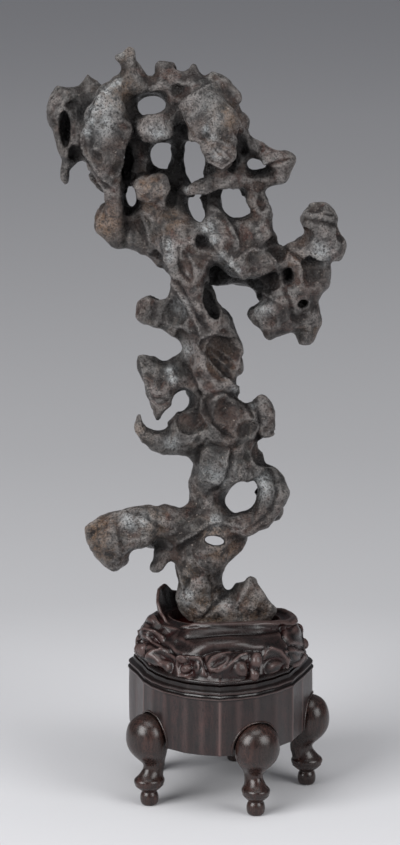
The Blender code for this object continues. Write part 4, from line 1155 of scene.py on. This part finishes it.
def seat_rings():
    """Rings of the seat's body: lobed at the foot, oval under the collar."""
    rings = []
    outline = plan_outline()
    for share, wide, deep, roundness in SEAT_LEVELS:
        ring = []
        for point in outline:
            angle = math.degrees(math.atan2(point.x, -point.y))
            top = min(118.0, collar_at(angle)[0] - 2.8) / 1000
            spot = point.lerp(point.normalized() * (0.94 * DRUM_RADIUS), roundness)
            spot = Vector((spot.x * wide, spot.y * deep, SEAT_BOTTOM))
            spot.z += (top - SEAT_BOTTOM) * share
            ring.append(spot)
        rings.append(ring)
    return rings


# Thin moulding at the seat's foot: (height in mm, scale of the plan)
MOULDING_LEVELS = [
    (87.1, 0.900), (87.15, 0.925), (87.5, 0.935), (88.2, 0.942), (89, 0.944), (89.6, 0.940),
    (90, 0.930), (90.3, 0.915), (90.5, 0.880),
]


def carved_seat(group):
    """Body, collar and carving as one skin with the rock's socket, and the foot moulding."""
    seat = lofted("carved_seat", seat_rings(), group)
    bowls = []
    extra = bmesh.new()
    carve_back(skin_tree(seat.data), bowls, extra)
    cut_bowls(seat, bowls, group)
    collar = collar_band(group)
    extra.from_mesh(collar.data)
    bpy.data.objects.remove(collar, do_unlink=True)
    extra.from_mesh(seat.data)
    extra.to_mesh(seat.data)
    extra.free()
    remesh(seat, SEAT_VOXEL)
    smooth(seat, 0.5, 2)
    press(seat.data, FRONT_LUMPS, FRONT_LINES)
    smooth(seat, 0.4, 1)
    socket = cylinder("socket", 1.0, SOCKET_FLOOR, SOCKET_TOP, group, SOCKET_HALF, SOCKET_CENTRE)
    boolean(seat, socket)
    keep_largest(seat)
    cut_flat(seat.data, SEAT_BOTTOM)
    moulding = stacked("seat_moulding", plan_outline(), MOULDING_LEVELS, group)
    return seat, moulding


def feed(socket, item):
    """Gives an input a number, a colour or a link from another socket."""
    if isinstance(item, bpy.types.NodeSocket):
        socket.id_data.links.new(item, socket)
    else:
        socket.default_value = (*item, 1.0) if socket.type == "RGBA" else item


def add_node(tree, kind, settings=None, **inputs):
    """A node with its settings and inputs, where _ in a name stands for a space."""
    node = tree.nodes.new(kind)
    for name, value in (settings or {}).items():
        setattr(node, name, value)
    for name, item in inputs.items():
        feed(node.inputs[name.replace("_", " ")], item)
    return node


def value_range(source, low, high, to_low=0.0, to_high=1.0):
    """A value taken smoothly from one range to another."""
    node = add_node(source.id_data, "ShaderNodeMapRange", {"interpolation_type": "SMOOTHSTEP"},
                    Value=source, From_Min=low, From_Max=high, To_Min=to_low, To_Max=to_high)
    return node.outputs["Result"]


def combine(operation, a, b):
    """Two values or numbers combined by a Math operation."""
    tree = next(item.id_data for item in (a, b) if isinstance(item, bpy.types.NodeSocket))
    node = add_node(tree, "ShaderNodeMath", {"operation": operation})
    feed(node.inputs[0], a)
    feed(node.inputs[1], b)
    return node.outputs[0]


def times(a, b):
    return combine("MULTIPLY", a, b)


def summed(parts):
    """The sum of values, each taken its own number of times."""
    total, *others = [times(value, share) for value, share in parts]
    for part in others:
        total = combine("ADD", total, part)
    return total


def blend(amount, a, b):
    """Colour a with the given amount of colour b mixed in."""
    node = add_node(amount.id_data, "ShaderNodeMix", {"data_type": "RGBA"})
    for index, item in ((0, amount), (6, a), (7, b)):
        feed(node.inputs[index], item)
    return node.outputs[2]


def layered(colour, layers):
    """Colours laid over one another in turn, each by its own amount."""
    for amount, over in layers:
        colour = blend(amount, colour, over)
    return colour


def noise_value(vector, scale, detail=3.0, roughness=0.6, distortion=0.0, kind="FBM"):
    node = add_node(vector.id_data, "ShaderNodeTexNoise", {"noise_type": kind}, Vector=vector,
                    Scale=scale, Detail=detail, Roughness=roughness, Distortion=distortion)
    if kind != "FBM":
        node.inputs["Offset"].default_value = 1.0
    return node.outputs["Fac"]


def attribute(tree, name):
    return add_node(tree, "ShaderNodeAttribute", {"attribute_name": name}).outputs["Fac"]


def node_group(name, inputs, output):
    """A shader node group with its inputs (name and default) and its one output."""
    tree = bpy.data.node_groups.new(name, "ShaderNodeTree")
    for label, default in inputs.items():
        kind = "NodeSocketFloat" if isinstance(default, float) else "NodeSocketVector"
        socket = tree.interface.new_socket(name=label, in_out="INPUT", socket_type=kind)
        socket.default_value = default
    tree.interface.new_socket(name=output, in_out="OUTPUT", socket_type="NodeSocketFloat")
    given, out = tree.nodes.new("NodeGroupInput").outputs, tree.nodes.new("NodeGroupOutput")
    return tree, given, out.inputs[output]


def place_group(tree, group, **inputs):
    """A group placed in a finish with its own values; gives its output."""
    return add_node(tree, "ShaderNodeGroup", {"node_tree": group}, **inputs).outputs[0]


def grain_group():
    """Small light grains scattered over a surface."""
    tree, given, light = node_group(
        "grains", {"Vector": (0.0, 0.0, 0.0), "Scale": 900.0, "Share": 0.3}, "Light")
    fine = noise_value(given["Vector"], given["Scale"], 2.0, 0.7)
    low = combine("SUBTRACT", 0.86, times(given["Share"], 0.6))
    feed(light, value_range(times(combine("SUBTRACT", fine, low), 9.0), 0.0, 1.0))
    return tree


def wear_and_highlight_group():
    """Where a surface is rubbed and where painted highlight goes: over its raised edges and along
    its ridges.
    """
    tree, given, amount = node_group(
        "wear_and_highlight", {"Edge": 0.0, "Edge Share": 0.5, "Ridge": 0.0, "Ridge Share": 0.5}, "Amount")
    feed(amount, combine("MAXIMUM", times(given["Edge"], given["Edge Share"]),
                         times(given["Ridge"], given["Ridge Share"])))
    return tree


def new_finish(name):
    made = bpy.data.materials.new(name)
    made.use_nodes = True
    tree = made.node_tree
    coordinate = tree.nodes.new("ShaderNodeTexCoord").outputs["Object"]
    return made, tree, tree.nodes["Principled BSDF"], coordinate


def finish_shader(shader, colour, roughness, shine, height, strength, distance):
    """Feeds a finish's colour, roughness, shine and small relief to its shader."""
    bump = add_node(shader.id_data, "ShaderNodeBump", Height=height, Strength=strength,
                    Distance=distance)
    feed(shader.inputs["Base Color"], colour)
    feed(shader.inputs["Roughness"], roughness)
    feed(shader.inputs["Specular IOR Level"], shine)
    feed(shader.inputs["Normal"], bump.outputs["Normal"])


# Colours of the stone and of the wood, with the painted highlight, painted reflection and painted
# shade laid over them
BROWN_STONE, GREY_STONE = (0.056, 0.032, 0.026), (0.034, 0.033, 0.031)
RUSTY_CLOUD, TAN_CRUST = (0.090, 0.046, 0.039), (0.235, 0.155, 0.105)
PALE_VEIN, DARK_VEIN = (0.115, 0.092, 0.080), (0.014, 0.010, 0.009)
# Painted highlight on polished spots, and along edges and ridges
PAINTED_STONE_HIGHLIGHT, STONE_EDGE_HIGHLIGHT = (0.56, 0.59, 0.60), (0.290, 0.275, 0.265)
# Dark mottle, also laid in the hollows as patina with painted shade; dark pits
DARK_MOTTLE_AND_HOLLOW_SHADE, STONE_PIT = (0.016, 0.012, 0.011), (0.011, 0.009, 0.009)
# Painted shade in the recesses and along the creases
STONE_RECESS_SHADE, STONE_CREASE_SHADE = (0.005, 0.004, 0.004), (0.008, 0.006, 0.006)
PALE_GRAIN = (0.52, 0.45, 0.40)
CARVED_TONES = (0.004, 0.0028, 0.0028), (0.014, 0.0062, 0.0058)
DRUM_TONES = (0.014, 0.008, 0.008), (0.050, 0.023, 0.021)
TURNED_TONES = (0.016, 0.009, 0.0080), (0.052, 0.024, 0.019)
# Dark pores; red painted reflection for the hollows
WOOD_PORE, RED_HOLLOW_REFLECTION = (0.003, 0.002, 0.002), (0.050, 0.006, 0.005)
# Wear with painted highlight on edges and ridges; painted shade
WOOD_WEAR_AND_HIGHLIGHT, WOOD_SHADE = (0.135, 0.085, 0.078), (0.002, 0.0015, 0.0015)
LIGHT_WOOD = (0.060, 0.034, 0.030)


def stone_finish(grains, wear_and_highlight):
    """Dark stone with rusty and grey clouds, tan crust and pale grains; painted highlight on
    polished spots, edges and ridges; patina with painted shade in the hollows; painted shade in
    recesses and creases.
    """
    made, tree, shader, spot = new_finish("weathered_stone")
    cloud = noise_value(spot, 26.0, 4.0, 0.6, 0.4)
    tint = noise_value(spot, 44.0, 3.0, 0.55, 0.2)
    mottle = noise_value(spot, 170.0, 6.0, 0.70)
    fine = noise_value(spot, 760.0, 3.0, 0.75)
    veins = noise_value(spot, 70.0, 4.0, 0.55, 0.5, "RIDGED_MULTIFRACTAL")
    veins = value_range(veins, 0.2, 1.5)
    marks = {name: attribute(tree, name) for name in
             ("tan", "polish_and_highlight", "edge", "ridge", "hollow", "recess_shade", "painted_shade")}
    tan = times(marks["tan"], value_range(mottle, 0.62, 0.42))
    # Painted highlight on the polished spots, which also lowers the roughness
    polish_and_highlight = times(marks["polish_and_highlight"], value_range(mottle, 0.36, 0.50, 0.25, 1.0))
    # Painted highlight along the raised edges and the ridges
    edge = times(marks["edge"], value_range(tint, 0.30, 0.62, 0.2, 1.0))
    edge = place_group(tree, wear_and_highlight, Edge=edge, Edge_Share=0.55, Ridge=marks["ridge"],
                       Ridge_Share=0.65)
    light = place_group(tree, grains, Vector=spot, Scale=640.0, Share=0.36)
    colour = blend(value_range(cloud, 0.40, 0.58), BROWN_STONE, GREY_STONE)
    colour = layered(colour, [
        (value_range(tint, 0.54, 0.70), RUSTY_CLOUD),
        (value_range(veins, 0.60, 1.0, 0.0, 0.40), PALE_VEIN),
        (value_range(veins, 0.50, 0.20, 0.0, 0.90), DARK_VEIN),
        (times(tan, 0.8), TAN_CRUST),
        # painted highlight on polished spots
        (times(polish_and_highlight, 0.95), PAINTED_STONE_HIGHLIGHT),
        # painted highlight on edges and ridges
        (edge, STONE_EDGE_HIGHLIGHT),
        (value_range(mottle, 0.50, 0.66, 0.0, 0.70), DARK_MOTTLE_AND_HOLLOW_SHADE),
        (value_range(fine, 0.52, 0.38, 0.0, 0.80), STONE_PIT),
        (times(light, 0.62), PALE_GRAIN),
        # dark patina with painted shade in the hollows
        (value_range(marks["hollow"], 0.15, 1.0, 0.0, 0.70), DARK_MOTTLE_AND_HOLLOW_SHADE),
        # painted shade in the recesses
        (value_range(marks["recess_shade"], 0.08, 0.44, 0.0, 0.97), STONE_RECESS_SHADE),
        # painted shade in creases and under folds
        (times(marks["painted_shade"], 0.85), STONE_CREASE_SHADE),
    ])
    rough = combine("SUBTRACT", value_range(mottle, 0.3, 0.7, 0.22, 0.36),
                    times(marks["polish_and_highlight"], 0.10))
    pits = add_node(tree, "ShaderNodeTexVoronoi", {"feature": "SMOOTH_F1"}, Vector=spot,
                    Scale=260.0)
    height = summed([(mottle, 1.2), (pits.outputs["Distance"], 0.5), (fine, 1.0), (veins, 0.9)])
    finish_shader(shader, colour, rough, 0.38, height, 1.0, 0.0016)
    return made


def wood_finish(name, grains, wear_and_highlight, dark, warm, roughness, shine=0.5):
    """Near-black polished hardwood: fine upright pores, red painted reflection in the hollows,
    wear and painted highlight on edges and ridges, painted shade in recesses and creases.
    """
    made, tree, shader, spot = new_finish(name)
    upright = add_node(tree, "ShaderNodeMapping", Vector=spot)
    upright.inputs["Scale"].default_value = (1.0, 1.0, 0.16)
    upright = upright.outputs["Vector"]
    streak = noise_value(upright, 560.0, 5.0, 0.72, 0.2)
    band = noise_value(upright, 120.0, 2.0, 0.5)
    cloud = noise_value(spot, 60.0, 3.0, 0.6)
    fine = noise_value(spot, 900.0, 2.0, 0.7)
    # Wear with painted highlight along the edges and ridges
    edge = place_group(tree, wear_and_highlight, Edge=attribute(tree, "edge"), Edge_Share=0.5,
                       Ridge=attribute(tree, "ridge"), Ridge_Share=0.75)
    # Painted shade in the recesses and creases
    shade = combine("MAXIMUM", value_range(attribute(tree, "recess_shade"), 0.22, 0.65, 0.0, 0.9),
                    times(attribute(tree, "painted_shade"), 0.9))
    light = place_group(tree, grains, Vector=upright, Scale=900.0, Share=0.25)
    colour = blend(value_range(streak, 0.34, 0.66), dark, warm)
    colour = layered(colour, [
        (value_range(band, 0.42, 0.60, 0.0, 0.6), dark),
        (value_range(cloud, 0.45, 0.62, 0.0, 0.5), (dark[0] * 1.5, dark[1] * 2.1, dark[2] * 2.1)),
        (value_range(fine, 0.50, 0.36, 0.0, 0.6), WOOD_PORE),
        # red painted reflection in the hollows
        (times(attribute(tree, "hollow"), 0.65), RED_HOLLOW_REFLECTION),
        # wear and painted highlight on edges and ridges
        (edge, WOOD_WEAR_AND_HIGHLIGHT),
        (shade, WOOD_SHADE),
        (times(light, 0.25), LIGHT_WOOD),
    ])
    rough = value_range(streak, 0.3, 0.7, roughness - 0.03, roughness + 0.07)
    height = summed([(streak, 0.6), (cloud, 1.2)])
    finish_shader(shader, colour, rough, shine, height, 0.35, 0.0004)
    return made


FLOOR_REACH = 12.0
# Painted light and shade on the paper: its brightness by distance from the stand, in metres, up
# to SHADE_REACH
SHADE_REACH = 6.0
PAINTED_FLOOR_LIGHT_AND_SHADE = [(0.0, 0.64), (0.2, 0.65), (0.45, 0.54), (0.95, 0.54), (1.8, 0.63), (3.2, 0.82),
                (5.0, 0.92)]


def paper_floor():
    """Wide seamless paper with painted light and shade: pale under the stand, greyer further
    back, paler again far off.
    """
    bm = bmesh.new()
    bmesh.ops.create_grid(bm, x_segments=1, y_segments=1, size=FLOOR_REACH)
    floor = from_bmesh("paper_floor", bm, bpy.context.scene.collection)
    made, tree, shader, spot = new_finish("studio_paper")
    away = add_node(tree, "ShaderNodeVectorMath", {"operation": "LENGTH"}, Vector=spot)
    # Painted light and shade by distance from the stand
    ramp = tree.nodes.new("ShaderNodeValToRGB")
    while len(ramp.color_ramp.elements) < len(PAINTED_FLOOR_LIGHT_AND_SHADE):
        ramp.color_ramp.elements.new(0.5)
    for stop, (reach, shade) in zip(ramp.color_ramp.elements, PAINTED_FLOOR_LIGHT_AND_SHADE):
        stop.position = reach / SHADE_REACH
        stop.color = (shade, shade, shade * 1.03, 1)
    feed(ramp.inputs[0], combine("DIVIDE", away.outputs["Value"], SHADE_REACH))
    fibre = noise_value(spot, 300.0, 3.0)
    feed(shader.inputs["Base Color"], blend(times(fibre, 0.03), ramp.outputs[0], (0.5, 0.5, 0.5)))
    feed(shader.inputs["Roughness"], value_range(fibre, 0.3, 0.7, 0.85, 0.95))
    floor.data.materials.append(made)


# Soft boxes: azimuth and elevation in degrees, distance and size in metres, power in watts
SOFT_BOXES = {
    "left_box": (-48, 28, 2.4, (1.5, 1.7), 64),
    "right_box": (50, 24, 2.4, (1.4, 1.5), 32),
    "top_box": (0, 82, 2.6, (1.8, 1.8), 26),
}
LIGHT_TARGET = Vector((0, 0, 0.22))


def soft_box(name, azimuth, elevation, distance, size, power):
    light = bpy.data.lights.new(name, "AREA")
    light.shape = "RECTANGLE"
    light.size, light.size_y = size
    light.energy = power
    made = add_object(name, light, bpy.context.scene.collection)
    lift = math.radians(elevation)
    way = plan_point(azimuth, math.cos(lift)) + Vector((0, 0, math.sin(lift)))
    made.location = LIGHT_TARGET + way * distance
    made.rotation_euler = way.to_track_quat("Z", "Y").to_euler()


def photo_camera(shift):
    """The camera at the eye of the sight grid."""
    camera = bpy.data.cameras.new("camera")
    camera.sensor_fit = "VERTICAL"
    camera.sensor_height = 24.0
    camera.lens = camera.sensor_height * SIGHT / (2 * SIGHT_CENTRE[1] * GRID)
    camera.clip_start, camera.clip_end = 0.05, 60.0
    made = add_object("camera", camera, bpy.context.scene.collection)
    made.location = EYE + shift
    made.rotation_euler = (math.pi / 2 - TILT, 0, 0)
    bpy.context.scene.camera = made


def studio(shift):
    paper_floor()
    for name, values in SOFT_BOXES.items():
        soft_box(name, *values)
    world = bpy.data.worlds.new("studio")
    world.use_nodes = True
    bpy.context.scene.world = world
    sky = world.node_tree.nodes["Background"]
    feed(sky.inputs["Color"], (0.55, 0.56, 0.60))
    feed(sky.inputs["Strength"], 0.22)
    photo_camera(shift)
    bpy.context.scene.view_settings.view_transform = "Standard"


def drum_shift():
    """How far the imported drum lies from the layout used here; it moves every piece."""
    low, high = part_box("stand_drum")
    return Vector(((low.x + high.x) / 2 - DRUM_MIDDLE[0],
                   (low.y + high.y) / 2 - DRUM_MIDDLE[1], 0))


def finish_piece(piece, finish, node, shift, sharp=None):
    """Places a piece, gives it its finish and says what it stands for in the frame."""
    piece.data.transform(Matrix.Translation(shift))
    piece.data.materials.clear()
    piece.data.materials.append(finish)
    piece.data.polygons.foreach_set("use_smooth", [True] * len(piece.data.polygons))
    if sharp:
        piece.data.set_sharp_from_angle(angle=math.radians(sharp))
    if node:
        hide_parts(node)
    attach(piece, "root")


def main():
    group = bpy.data.collections.new("scholars_rock")
    bpy.context.scene.collection.children.link(group)
    shift = drum_shift()
    effects = grain_group(), wear_and_highlight_group()
    stone = stone_finish(*effects)
    carved = wood_finish("carved_wood", *effects, *CARVED_TONES, 0.27, 0.38)
    joinery = wood_finish("drum_wood", *effects, *DRUM_TONES, 0.30)
    turned = wood_finish("turned_wood", *effects, *TURNED_TONES, 0.25)

    rock = weathered_rock(group)
    finish_piece(rock, stone, "rock", shift)

    seat, moulding = carved_seat(group)
    record_relief(seat.data, 3, 30, EDGE_DEPTH, SEAT_DEPTH)
    # Painted shade in the seat's recesses
    record_recess(seat.data, SEAT_RECESS, 7)
    finish_piece(seat, carved, "stand_seat", shift, 50)
    record_relief(moulding.data, 1, 2, 0.002, 0.01)
    finish_piece(moulding, carved, None, shift, 35)

    drum, wall = lobed_drum(group)
    record_arrises(drum.data)
    finish_piece(drum, joinery, "stand_drum", shift, 24)
    beads = arch_beads(wall, group)
    finish_piece(beads, turned, None, shift)
    for name, angle in LEG_ANGLES.items():
        leg = ball_knee_leg("ball_knee_" + name, angle, group)
        finish_piece(leg, turned, name, shift)
    studio(shift)


main()
